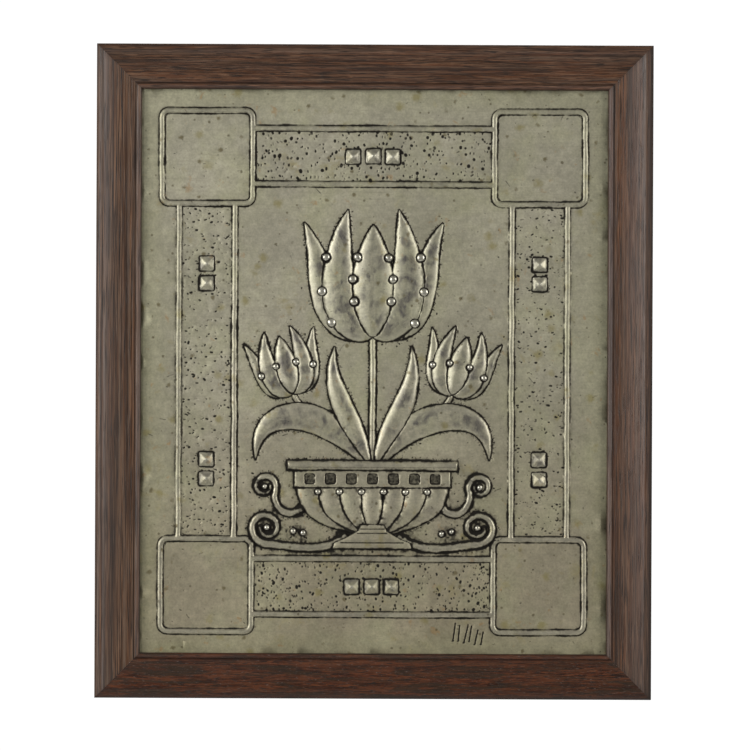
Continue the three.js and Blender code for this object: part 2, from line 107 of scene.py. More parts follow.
DESIGN_SHIFT = np.array([-0.66, 0.0])
BORDER_MARGIN = 10.2
BLOCK_SIZE = np.array([52.9, 54.0])
BLOCK_CORNER_RADIUS = 4.0
BAND_INSET = 11.1
BAND_WIDTH = 30.6
RIDGE_WIDTH = 3.0
RIDGE_HEIGHT = 1.25
RIDGE_EDGE_SHARE = 0.86
STUD_SIZE = 8.0
STUD_HEIGHT = 2.2
STUD_RIM_WIDTH = 0.6
STUD_RIM_HEIGHT = 0.9
STUD_PITCH = 10.85
STUD_ROW_SHIFT = -0.24
STUD_PAIR_LEVEL = 53.7

BLOCK_OUTER = SIGHT_SIZE / 2 - BORDER_MARGIN
BLOCK_INNER = BLOCK_OUTER - BLOCK_SIZE
BAND_OUTER = BLOCK_OUTER - BAND_INSET
BAND_INNER = BAND_OUTER - BAND_WIDTH
BAND_MIDDLE = (BAND_OUTER + BAND_INNER) / 2

PLANT_CLEARANCE = 4.0
PLANT_FOOT_Y = -BAND_INNER[1] + RIDGE_WIDTH / 2 + PLANT_CLEARANCE
RELIEF_HEIGHT = 3.0
BEAD_SIZE = 4.4
SMALL_BEAD_SIZE = 3.2
BEAD_HEIGHT = 1.1
WINDOW_SIZE = 5.4
WINDOW_DEPTH = 0.7
WINDOWS = 7


# Small helpers

def smooth(edge0, edge1, value):
    share = np.clip((value - edge0) / (edge1 - edge0), 0.0, 1.0)
    return share * share * (3.0 - 2.0 * share)


def lattice_noise(points, size, seed):
    """Smooth value noise from -1 to 1 over the plane, its bumps about size mm across."""
    rng = np.random.default_rng(seed)
    table = rng.uniform(-1.0, 1.0, (64, 64))
    place = points / size + 1000.0
    cell = np.floor(place).astype(int)
    part = place - cell
    part = part * part * (3.0 - 2.0 * part)
    i, j = cell[:, 0] % 64, cell[:, 1] % 64
    i1, j1 = (i + 1) % 64, (j + 1) % 64
    low = table[i, j] * (1 - part[:, 0]) + table[i1, j] * part[:, 0]
    high = table[i, j1] * (1 - part[:, 0]) + table[i1, j1] * part[:, 0]
    return low * (1 - part[:, 1]) + high * part[:, 1]


def to_metres(points):
    """From the picture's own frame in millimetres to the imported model's in metres."""
    return np.column_stack([points[:, 0], -points[:, 2], points[:, 1] + CENTRE_Z]) * MM


def add_object(name, data):
    made = bpy.data.objects.new(name, data)
    bpy.context.collection.objects.link(made)
    return made


def mesh_piece(name, points, faces, material, smooth_shading=True, fields=None):
    """A mesh object from points in the picture's frame. fields holds one number a point."""
    mesh = bpy.data.meshes.new(name)
    mesh.from_pydata(to_metres(points), [], faces)
    mesh.materials.append(material)
    for field, values in (fields or {}).items():
        layer = mesh.attributes.new(field, "FLOAT", "POINT")
        layer.data.foreach_set("value", np.asarray(values, dtype=np.float32))
    mesh.polygons.foreach_set("use_smooth", [smooth_shading] * len(mesh.polygons))
    mesh.validate()
    mesh.update()
    return add_object(name, mesh)


def rim(columns, rows):
    """The outermost places of a lattice, in order round it."""
    south = [(i, 0) for i in range(columns)]
    east = [(columns, j) for j in range(rows)]
    north = [(i, rows) for i in range(columns, 0, -1)]
    west = [(0, j) for j in range(rows, 0, -1)]
    return south + east + north + west


# Centre lines of the raised work

def bezier(p0, p1, p2, p3, steps=24):
    t = np.linspace(0.0, 1.0, steps + 1)[:, None]
    p0, p1, p2, p3 = (np.array(p, float) for p in (p0, p1, p2, p3))
    return (1 - t) ** 3 * p0 + 3 * (1 - t) ** 2 * t * p1 + 3 * (1 - t) * t * t * p2 + t ** 3 * p3


def spiral(centre, start_radius, end_radius, start_degrees, turns, steps):
    share = np.linspace(0.0, 1.0, steps + 1)
    angle = math.radians(start_degrees) + turns * 2 * math.pi * share
    radius = start_radius + (end_radius - start_radius) * share
    return np.stack([centre[0] + radius * np.cos(angle), centre[1] + radius * np.sin(angle)], 1)


def scroll(start, handles, centre, start_radius, end_radius, start_degrees, turns):
    """An arm that runs into a coil. The arm has 6 parts of its length for the coil's 17."""
    coil = spiral(centre, start_radius, end_radius, start_degrees, turns, 51)
    return np.vstack([bezier(start, *handles, coil[0], 18)[:-1], coil])


def mirrored(path):
    return path[::-1] * [-1, 1]


def leaf_width(width, skew, fill):
    return lambda share: width * np.abs(np.sin(np.pi * share ** skew)) ** fill + 0.15


def width_steps(*pairs):
    shares, widths = zip(*pairs)
    return lambda share: np.interp(share, shares, widths)


def constant(value):
    return lambda share: np.full_like(np.asarray(share, float), value)


# Raised forms. Each one gives its signed distance, negative inside, and its own height.

# The distance around a form in which chasing marks and patina may lie
MARK_REACH = 3.0
LEAFY = ("petal", "leaf")


def within(form, points):
    return np.all((points > form.low) & (points < form.high), axis=1)


class Ribbon:
    """A band along a centre line: a steep edge, domed between, with flat ends."""

    def __init__(self, path, half, edge=0.0, crown=0.0, kind="ridge", closed=False):
        self.path = np.asarray(path, float)
        self.half = half
        self.edge = edge
        self.crown = crown
        self.kind = kind
        self.closed = closed
        self.shares = np.linspace(0.0, 1.0, len(self.path))
        widths = half(self.shares)
        self.widest = widths.max()
        reach = self.widest + MARK_REACH
        self.low = self.path.min(0) - reach
        self.high = self.path.max(0) + reach

    def measure(self, points):
        distance = np.full(len(points), 1e9)
        across = np.zeros(len(points))
        along = np.zeros(len(points))
        last = len(self.path) - 2
        for i in range(last + 1):
            run = self.path[i + 1] - self.path[i]
            length = math.hypot(*run)
            if length < 1e-9:
                continue
            run = run / length
            offset = points - self.path[i]
            forward = offset @ run
            sideways = np.abs(offset[:, 0] * run[1] - offset[:, 1] * run[0])
            part = np.clip(forward / length, 0.0, 1.0)
            near = np.hypot(sideways, forward - part * length)
            share = self.shares[i] + part * (self.shares[i + 1] - self.shares[i])
            width = self.half(share)
            edge = near - width
            if not self.closed and i == 0:
                edge = np.where(forward < 0, np.maximum(-forward, sideways - width), edge)
            if not self.closed and i == last:
                edge = np.where(forward > length, np.maximum(forward - length, sideways - width), edge)
            closer = edge < distance
            distance = np.where(closer, edge, distance)
            across = np.where(closer, near / np.maximum(width, 1e-6), across)
            along = np.where(closer, share, along)
        return distance, np.clip(across, 0.0, 1.0), along

    def height(self, across, along):
        fullness = np.clip(self.half(along) / self.widest, 0.0, 1.0) ** 0.6
        dome = (1.0 - across * across) ** (0.95 if self.kind in LEAFY else 0.75)
        return self.edge * np.minimum(1.0, 1.5 * fullness) + self.crown * fullness * dome


class Section(Ribbon):
    """A straight ribbon whose outline is read square across its line, as for a foot."""

    def measure(self, points):
        run = self.path[-1] - self.path[0]
        length = math.hypot(*run)
        offset = points - self.path[0]
        forward = offset @ run / length
        sideways = np.abs(offset[:, 0] * run[1] - offset[:, 1] * run[0]) / length
        share = np.clip(forward / length, 0.0, 1.0)
        width = self.half(share)
        distance = np.maximum(sideways - width, np.maximum(-forward, forward - length))
        return distance, np.clip(sideways / width, 0.0, 1.0), share


class Network:
    """Ribbons that run into each other, drawn as one, with no line across a junction."""
    kind = "ridge"

    def __init__(self, parts):
        self.parts = parts
        self.low = np.min([part.low for part in parts], axis=0)
        self.high = np.max([part.high for part in parts], axis=0)

    def measure(self, points):
        distance = np.full(len(points), 1e3)
        across = np.ones(len(points))
        for part in self.parts:
            near = np.nonzero(within(part, points))[0]
            found, place, _ = part.measure(points[near])
            closer = found < distance[near]
            distance[near[closer]] = found[closer]
            across[near[closer]] = place[closer]
        return distance, across, np.zeros(len(points))

    def height(self, across, along):
        dome = (1.0 - across * across) ** 0.75
        return RIDGE_HEIGHT * (RIDGE_EDGE_SHARE + (1 - RIDGE_EDGE_SHARE) * dome)


class Boss:
    """A form about a centre, whose height grows from its edge or lies level."""

    def __init__(self, centre, size, top=0.0):
        self.centre = np.asarray(centre, float)
        self.half = size / 2
        self.top = top
        self.low = self.centre - self.half - MARK_REACH
        self.high = self.centre + self.half + MARK_REACH


class Bead(Boss):
    """A small domed boss."""
    kind = "bead"

    def measure(self, points):
        near = np.hypot(*(points - self.centre).T)
        return near - self.half, np.clip(near / self.half, 0.0, 1.0), np.zeros(len(points))

    def height(self, across, along):
        return self.top - 0.75 * BEAD_HEIGHT * (1.0 - np.sqrt(1.0 - across ** 2.2))


class Square(Boss):
    """A boss with a square outline and rounded corners."""

    def measure(self, points):
        offset = np.abs(points - self.centre)
        outside = np.maximum(offset - (self.half - self.corner), 0.0)
        inward = np.minimum(offset.max(1) - (self.half - self.corner), 0.0)
        distance = np.hypot(*outside.T) + inward - self.corner
        return distance, np.clip(offset.max(1) / self.half, 0.0, 1.0), np.zeros(len(points))


class Stud(Square):
    """A square pyramid inside a thin raised rim."""
    kind = "stud"
    corner = 0.9

    def height(self, across, along):
        inner = 1.0 - STUD_RIM_WIDTH / self.half
        foot = 0.55 * STUD_RIM_HEIGHT
        pyramid = foot + (STUD_HEIGHT - foot) * np.clip(1.0 - across / inner, 0.0, 1.0)
        off_rim = (across - (1 + inner) / 2) / ((1 - inner) / 2)
        rim_height = STUD_RIM_HEIGHT * np.sqrt(np.clip(1.0 - off_rim ** 2, 0, 1))
        return np.maximum(pyramid, np.where(across > inner, rim_height, 0.0))


class Window(Square):
    """A small sunk square with a flat floor."""
    kind = "window"
    corner = 1.1

    def height(self, across, along):
        return np.full(len(across), self.top)


# The border

def block_ring(sign_x, sign_y):
    half = BLOCK_SIZE / 2 - RIDGE_WIDTH / 2
    centre = np.array([sign_x, sign_y]) * (BLOCK_OUTER + BLOCK_INNER) / 2
    radius = BLOCK_CORNER_RADIUS
    path = []
    for quarter, (right, up) in enumerate(((1, 1), (-1, 1), (-1, -1), (1, -1))):
        corner = centre + np.array([right, up]) * (half - radius)
        for step in range(9):
            angle = (quarter + step / 8) * math.pi / 2
            path.append(corner + radius * np.array([math.cos(angle), math.sin(angle)]))
    path.append(path[0])
    return Ribbon(path, constant(RIDGE_WIDTH / 2), closed=True)


def straight_ridge(start, end):
    return Section((start, end), constant(RIDGE_WIDTH / 2))


def border_forms():
    reach = BLOCK_INNER + RIDGE_WIDTH / 2
    ridges, blocks, studs = [], [], []
    for sign in (-1, 1):
        for level in (BAND_OUTER[1], BAND_INNER[1]):
            ridges.append(straight_ridge((-reach[0], sign * level), (reach[0], sign * level)))
        for offset in (BAND_OUTER[0], BAND_INNER[0]):
            ridges.append(straight_ridge((sign * offset, -reach[1]), (sign * offset, reach[1])))
        blocks += [block_ring(sign, 1), block_ring(sign, -1)]
        for i in (-1, 0, 1):
            place = STUD_ROW_SHIFT + i * STUD_PITCH, sign * BAND_MIDDLE[1]
            studs.append(Stud(place, STUD_SIZE))
        for i in (-0.5, 0.5):
            for level in (STUD_PAIR_LEVEL, -STUD_PAIR_LEVEL):
                studs.append(Stud((sign * BAND_MIDDLE[0], level + i * STUD_PITCH), STUD_SIZE))
    return [Network(ridges + blocks), *studs]


# The plant in its bowl, with x from the middle line and y up from the bowl's foot

def on_panel(path):
    return np.asarray(path, float) + [0.0, PLANT_FOOT_Y]


def raised(path, half, edge, crown, kind):
    return Ribbon(on_panel(path), half, edge * RELIEF_HEIGHT, crown * RELIEF_HEIGHT, kind)


def straight(start, end, half, edge, crown, kind):
    return Section(on_panel((start, end)), half, edge * RELIEF_HEIGHT, crown * RELIEF_HEIGHT, kind)


def both_sides(path, half, edge, crown, kind, put=np.asarray):
    return [
        raised(put(path), half, edge, crown, kind),
        raised(put(mirrored(path)), lambda share: half(1.0 - share), edge, crown, kind),
    ]


def raised_bead(centre, size, lift):
    return Bead(on_panel(centre), size, lift * RELIEF_HEIGHT + BEAD_HEIGHT)


def on_edge(path, half, share):
    """A place on the right-hand edge of a form, a share of the way along it."""
    at = share * (len(path) - 1)
    i = min(int(at), len(path) - 2)
    run = path[i + 1] - path[i]
    tangent = run / math.hypot(*run)
    return path[i] + run * (at - i) + np.array([tangent[1], -tangent[0]]) * half(np.array(share))


def stem_and_leaf_forms():
    side_stem = bezier((2, 45), (8, 76), (40, 66), (44, 88))
    curling_leaf = bezier((3, 45), (20, 79), (66, 83), (64, 49), 32)
    upright_leaf = bezier((1.5, 46), (9, 71), (26, 83), (21, 111), 28)
    return [
        *both_sides(side_stem, constant(1.4), 0.13, 0.27, "stem"),
        straight((0, 45), (0, 120), constant(1.8), 0.17, 0.3, "stem"),
        *both_sides(curling_leaf, leaf_width(7.5, 0.8, 0.85), 0.12, 0.55, "leaf"),
        *both_sides(upright_leaf, leaf_width(5.6, 0.9, 0.8), 0.16, 0.57, "leaf"),
    ]


OUTER_PETAL = (bezier((0, 1), (32, -2), (24, 34), (38, 61), 32), leaf_width(7.8, 0.8, 0.75))
MIDDLE_PETAL = (bezier((0, 0), (23, 2), (22, 40), (14, 68), 32), leaf_width(9.6, 0.78, 0.8))
FRONT_PETAL = (bezier((0, -1), (0, 20), (0, 40), (0, 60), 26), leaf_width(11, 0.85, 0.85))


def tulip_forms(base, lean_degrees, size, rise, bead_size, bead_shares):
    lean = math.radians(lean_degrees)
    turn = np.array([[math.cos(lean), -math.sin(lean)], [math.sin(lean), math.cos(lean)]])

    def put(path):
        return np.asarray(path) * size @ turn + base

    def petals(path, half, edge, crown):
        return both_sides(path, lambda share: half(share) * size, edge * rise, crown * rise, "petal", put)

    def seam_beads(path, half, lift):
        beads = []
        for share in bead_shares:
            right = on_edge(path, half, share)
            for place in (right, right * [-1, 1]):
                beads.append(raised_bead(put(place), bead_size, lift * rise))
        return beads

    return [
        *petals(*OUTER_PETAL, 0.1, 0.56),
        *petals(*MIDDLE_PETAL, 0.14, 0.68),
        petals(*FRONT_PETAL, 0.2, 0.8)[0],
        *seam_beads(*MIDDLE_PETAL, 0.34),
        *seam_beads(*FRONT_PETAL, 0.5),
    ]


def flower_forms():
    return [
        *tulip_forms((0, 118), 0, 1.0, 1.0, BEAD_SIZE, (0.3, 0.5, 0.7)),
        *tulip_forms((44, 86), 14, 0.52, 0.75, SMALL_BEAD_SIZE, (0.5,)),
        *tulip_forms((-44, 86), -14, 0.52, 0.75, SMALL_BEAD_SIZE, (0.5,)),
    ]


LOBE_PITCH = 12
BAND_LEVEL = 38.5
BAND_REACH = 43
BAND_TOP = 0.45
BAND_CROWN = 0.08


def bowl_forms():
    forms = []
    for k in (-3, 3, -2, 2, -1, 1, 0):
        path = bezier((k * LOBE_PITCH, 36), (k * 12.3, 21), (k * 6.5, 13), (k * 2.6, 9.5), 18)
        width = width_steps((0, 5.9), (0.35, 5.6), (0.7, 3.2), (1, 1.6))
        forms.append(raised(path, width, 0.17, 0.57 - 0.02 * abs(k), "lobe"))
    for k in range(-2, 4):
        forms.append(raised_bead(((k - 0.5) * LOBE_PITCH, 31.5), SMALL_BEAD_SIZE, 0.36))
    foot_width = width_steps((0, 6.5), (0.25, 8), (0.55, 15), (0.75, 21), (1, 22))
    forms.append(straight((0, 13), (0, 0), foot_width, 0.4, 0.33, "foot"))
    band_ends = (-BAND_REACH, BAND_LEVEL), (BAND_REACH, BAND_LEVEL)
    forms.append(straight(*band_ends, constant(4.6), BAND_TOP - BAND_CROWN, BAND_CROWN, "band"))
    forms.append(straight((-47, 45.8), (47, 45.8), constant(2.6), 0.47, 0.37, "rim"))
    pitch = (2 * BAND_REACH - WINDOW_SIZE) / WINDOWS
    for i in range(WINDOWS):
        place = on_panel(((i - (WINDOWS - 1) / 2) * pitch, BAND_LEVEL))
        forms.append(Window(place, WINDOW_SIZE, BAND_TOP * RELIEF_HEIGHT - WINDOW_DEPTH))
    return forms


def scroll_forms():
    foot = scroll((14, 7), ((26, -3), (43, 0.9)), (58, 11.5), 9, 3.4, -84, 1.25)
    handle = scroll((37, 24), ((46, 13), (55.6, 24)), (59, 34), 6.5, 3, 200, -1.1)
    forms = [
        *both_sides(foot, width_steps((0, 2.3), (0.5, 1.8), (1, 1)), 0.17, 0.3, "scroll"),
        *both_sides(handle, width_steps((0, 2), (0.5, 1.6), (1, 0.9)), 0.17, 0.27, "scroll"),
    ]
    for x, y in ((38, 8.5), (43.5, 9.5), (58, 11.5), (59, 34)):
        forms += [raised_bead((-x, y), SMALL_BEAD_SIZE, 0.1), raised_bead((x, y), SMALL_BEAD_SIZE, 0.1)]
    return forms


# Sunk marks: punched dots, dashes, ticks, lines and specks

DASH_SWING = 0.4
CLOSEST_MARKS = 0.3
TICK_PITCH = 0.5
STEM_TICK_PITCH = 2.5
NEAR_TRIES = 6000
SPECKS = 260
SCRATCHES = 40
STROKES = 6


class Marks:
    """Many small sunk strokes, each a capsule: start, end, radius, depth and darkness."""

    def __init__(self):
        self.rows = []

    def add(self, start, end, radius, depth, dark):
        self.rows.append((*start, *end, radius, depth, dark))

    def apply(self, points, height, patina):
        """Sinks the marks into height and darkens patina. The points are searched in bins."""
        bin_size = 4.0
        keys = np.floor(points / bin_size).astype(int)
        order = np.lexsort((keys[:, 1], keys[:, 0]))
        sorted_keys = keys[order]
        codes = sorted_keys[:, 0] * 100000 + sorted_keys[:, 1]
        for x0, y0, x1, y1, radius, depth, dark in self.rows:
            reach = radius + 0.7
            low = np.floor((np.minimum((x0, y0), (x1, y1)) - reach) / bin_size).astype(int)
            high = np.floor((np.maximum((x0, y0), (x1, y1)) + reach) / bin_size).astype(int)
            found = []
            for i in range(low[0], high[0] + 1):
                first = np.searchsorted(codes, i * 100000 + low[1])
                last = np.searchsorted(codes, i * 100000 + high[1], side="right")
                found.append(order[first:last])
            index = np.concatenate(found)
            if len(index) == 0:
                continue
            start = np.array([x0, y0])
            run = np.array([x1 - x0, y1 - y0])
            length2 = max(run @ run, 1e-9)
            part = np.clip(((points[index] - start) @ run) / length2, 0.0, 1.0)
            near = np.hypot(*(points[index] - start - part[:, None] * run).T)
            height[index] -= depth * (1.0 - smooth(radius * 0.3, radius + 0.4, near))
            stain = dark * (1.0 - smooth(radius * 0.7, radius + 0.34, near))
            patina[index] = np.maximum(patina[index], stain)


def clearance(forms, places):
    """How far each place lies from the nearest of the forms."""
    nearest = np.full(len(places), 1e9)
    for form in forms:
        near = np.nonzero(within(form, places))[0]
        if len(near):
            nearest[near] = np.minimum(nearest[near], form.measure(places[near])[0])
    return nearest


def directions(angles):
    return np.stack([np.cos(angles), np.sin(angles)], 1)


def stipple_band(marks, rng, low, high, count, sizes, dash, dash_angle, studs):
    """Punch marks over a rectangle, kept apart, thicker at its edges and round the studs."""
    places = rng.uniform(low, high, (count, 2))
    shares = (places - low) / (high - low)
    edge = np.minimum(shares, 1 - shares).min(1)
    to_stud = clearance(studs, places)
    chance = 0.34 + 0.4 * np.exp(-edge * 12) + 0.65 * np.exp(-np.clip(to_stud, 0, None) / 3.5)
    radii = sizes[0] + (sizes[1] - sizes[0]) * rng.random(count) ** 2.2
    keep = (rng.random(count) < chance) & (to_stud > radii + 0.1)
    angles = dash_angle + rng.normal(0.0, DASH_SWING, count)
    runs = directions(angles) * dash * rng.random(count)[:, None] / 2
    deep = rng.uniform(0.08, 0.25, count)
    dark = 0.42 + 0.46 * rng.random(count) + 0.22 * (radii - sizes[0]) / (sizes[1] - sizes[0])
    kept = np.empty((0, 3))
    for i in np.nonzero(keep)[0]:
        gap = np.hypot(kept[:, 0] - places[i, 0], kept[:, 1] - places[i, 1]) - kept[:, 2] - radii[i]
        if len(kept) and gap.min() < CLOSEST_MARKS:
            continue
        kept = np.vstack([kept, [*places[i], radii[i]]])
        marks.add(places[i] - runs[i], places[i] + runs[i], radii[i], deep[i], dark[i])


def band_marks(marks, rng, studs):
    """Punch marks in the lower and upper band, each followed by the band on its side."""
    gap = RIDGE_WIDTH / 2 + 0.5
    for sign, count, sizes in ((-1, 1100, (0.17, 0.68)), (1, 820, (0.22, 0.92))):
        for axis, *manner in ((0, count, sizes, 0.8, math.pi / 2), (1, 950, (0.12, 0.5), 0.9, 0.0)):
            across = 1 - axis
            reach = BLOCK_INNER[axis] - 0.9
            sides = sorted((sign * (BAND_INNER[across] + gap), sign * (BAND_OUTER[across] - gap)))
            low, high = np.array([(-reach, reach), sides])[[axis, across]].T
            stipple_band(marks, rng, low, high, *manner, studs)


def edge_ticks(marks, rng, forms):
    """Short fine strokes that lean out from the outlines of the plant."""
    for form in forms:
        if form.kind not in ("petal", "leaf", "scroll", "lobe", "foot", "stem", "rim", "band"):
            continue
        runs = np.diff(form.path, axis=0)
        lengths = np.hypot(*runs.T)
        keep = lengths > 1e-6
        count = int(lengths.sum() / (STEM_TICK_PITCH if form.kind == "stem" else TICK_PITCH))
        for side in (-1, 1):
            reach = rng.random(count) * lengths.sum()
            ends = np.cumsum(lengths)
            index = np.clip(np.searchsorted(ends, reach), 0, len(runs) - 1)
            index = index[keep[index]]
            part = rng.random(len(index))
            tangent = runs[index] / lengths[index][:, None]
            out = side * np.stack([tangent[:, 1], -tangent[:, 0]], 1)
            width = form.half((index + part) / len(runs))
            feet = form.path[index] + runs[index] * part[:, None] + out * (width + 0.45)[:, None]
            lean = rng.normal(0.0, 0.6, len(index))
            stroke = out * np.cos(lean)[:, None] + tangent * np.sin(lean)[:, None]
            size = 0.1 + 1.25 * rng.random(len(index)) ** 2.0
            feet += out * (0.5 * rng.random(len(index)) ** 2)[:, None]
            tips = feet + stroke * size[:, None]
            clear = clearance(forms, (feet + tips) / 2) > 0.15
            clear &= lattice_noise(feet, 7.0, 61) > -0.25 - 0.5 * rng.random(len(index))
            for i in np.nonzero(clear)[0]:
                marks.add(feet[i], tips[i], rng.uniform(0.06, 0.17), 0.06, rng.uniform(0.2, 0.7))


def near_marks(marks, rng, forms):
    """Dark specks that gather round the plant, most of them low down."""
    half = BAND_INNER - RIDGE_WIDTH
    places = rng.uniform(-half, half, (NEAR_TRIES, 2))
    away = clearance(forms, places)
    low = smooth(-20.0, -90.0, places[:, 1])
    chance = np.exp(-away / 1.6) * (0.35 + 0.65 * low) + 0.12 * low * np.exp(-away / 6.0)
    for i in np.nonzero((away > 0.4) & (rng.random(len(places)) < chance))[0]:
        run = directions(rng.uniform(0, math.pi, 1))[0] * rng.uniform(0.0, 0.35)
        ends = places[i] - run, places[i] + run
        marks.add(*ends, rng.uniform(0.12, 0.4), 0.08, rng.uniform(0.3, 0.9))


def turned_lines(marks):
    """Sunk lines round the bowl's foot and along its rim."""
    for level, reach in ((3.4, 17.2), (8.6, 8.2), (10.9, 6.6)):
        left, right = on_panel(((-reach, level), (reach, level)))
        marks.add(left, right, 0.16, 0.32, 0.75)
    left, right = on_panel(((-45.6, 44.7), (45.6, 44.7)))
    marks.add(left, right, 0.1, 0.2, 0.45)


def stray_marks(marks, rng):
    """Specks, dents and a few scratches of age over the plain ground."""
    half = SIGHT_SIZE / 2
    for place in rng.uniform(-half, half, (SPECKS, 2)):
        run = directions(rng.uniform(0, math.pi, 1))[0] * rng.uniform(0.0, 0.4)
        radius = 0.1 + 0.45 * rng.random() ** 4
        marks.add(place - run, place + run, radius, 0.06, rng.uniform(0.15, 0.6))
    for place in rng.uniform(-half, half, (SCRATCHES, 2)):
        run = rng.uniform(1.0, 5.0) * directions(rng.uniform(0, math.pi, 1))[0]
        marks.add(place, place + run, rng.uniform(0.08, 0.16), 0.05, rng.uniform(0.2, 0.6))


def stroke_row(marks, rng):
    """A short row of slanted strokes low on the right."""
    for i in range(STROKES):
        foot = np.array([44.4 + i * 3.1 + rng.uniform(-0.3, 0.3), -148.6 + rng.uniform(-1.0, 1.0)])
        tip = foot + [rng.uniform(0.4, 2.6), rng.uniform(6.5, 10.0)]
        marks.add(foot, tip, 0.3, 0.25, 0.95)
        marks.add(foot - [0.5, 0.1], foot + [0.5, 0.2], 0.2, 0.1, 0.7)


def corner_shade(marks, rng):
    """Painted shade in the inside corners of the four square blocks, as short shallow dark strokes."""
    radius = BLOCK_CORNER_RADIUS - RIDGE_WIDTH / 2
    half = BLOCK_SIZE / 2 - RIDGE_WIDTH - radius
    quarters = [np.array([right, up]) for right in (-1, 1) for up in (-1, 1)]
    for block in quarters:
        centre = block * (BLOCK_OUTER + BLOCK_INNER) / 2
        for quarter in quarters:
            strength = rng.uniform(0.1, 1.0)
            for _ in range(5):
                middle = math.pi / 4 + rng.uniform(-0.6, 0.6)
                ends = np.array([middle - 0.25, middle + 0.25])
                reach = radius - rng.uniform(0.2, 1.0)
                start, end = centre + quarter * (half + reach * directions(ends))
                marks.add(start, end, rng.uniform(0.1, 0.3), 0.05, strength * rng.uniform(0.3, 0.9))


# The panel's surface: height and finish at any place on the sheet

EDGE_SOFTNESS = 0.2
RIDGE_EDGE_SOFTNESS = 0.25
RIDGE_WOBBLE = 0.55
LINE_DEPTH = 0.4
LINE_OFFSET = 0.22
LINE_WIDTH = {
    "ridge": 0.38, "stud": 0.5, "bead": 0.42, "window": 0.33, "band": 0.42, "scroll": 0.72,
    "foot": 0.6, "lobe": 0.5, "rim": 0.55,
}
LINE_WIDTH_OTHERS = 0.46
DUST = 0.75
DUST_SPREAD = {"ridge": 0.7, "stud": 1.0}
DUST_SPREAD_OTHERS = 1.5
POLISH = {
    "bead": 0.85, "petal": 0.13, "leaf": 0.11, "lobe": 0.1, "foot": 0.1, "stem": 0.08,
    "scroll": 0.22, "rim": 0.1, "band": 0.1,
}


def hand_wobble(points):
    """How far the maker's hand strays from a true line at each place."""
    slow = [lattice_noise(points, 13.0, seed) for seed in (31, 32)]
    quick = [lattice_noise(points, 3.2, seed) for seed in (33, 34)]
    return 0.28 * np.stack(slow, 1) + 0.13 * np.stack(quick, 1)


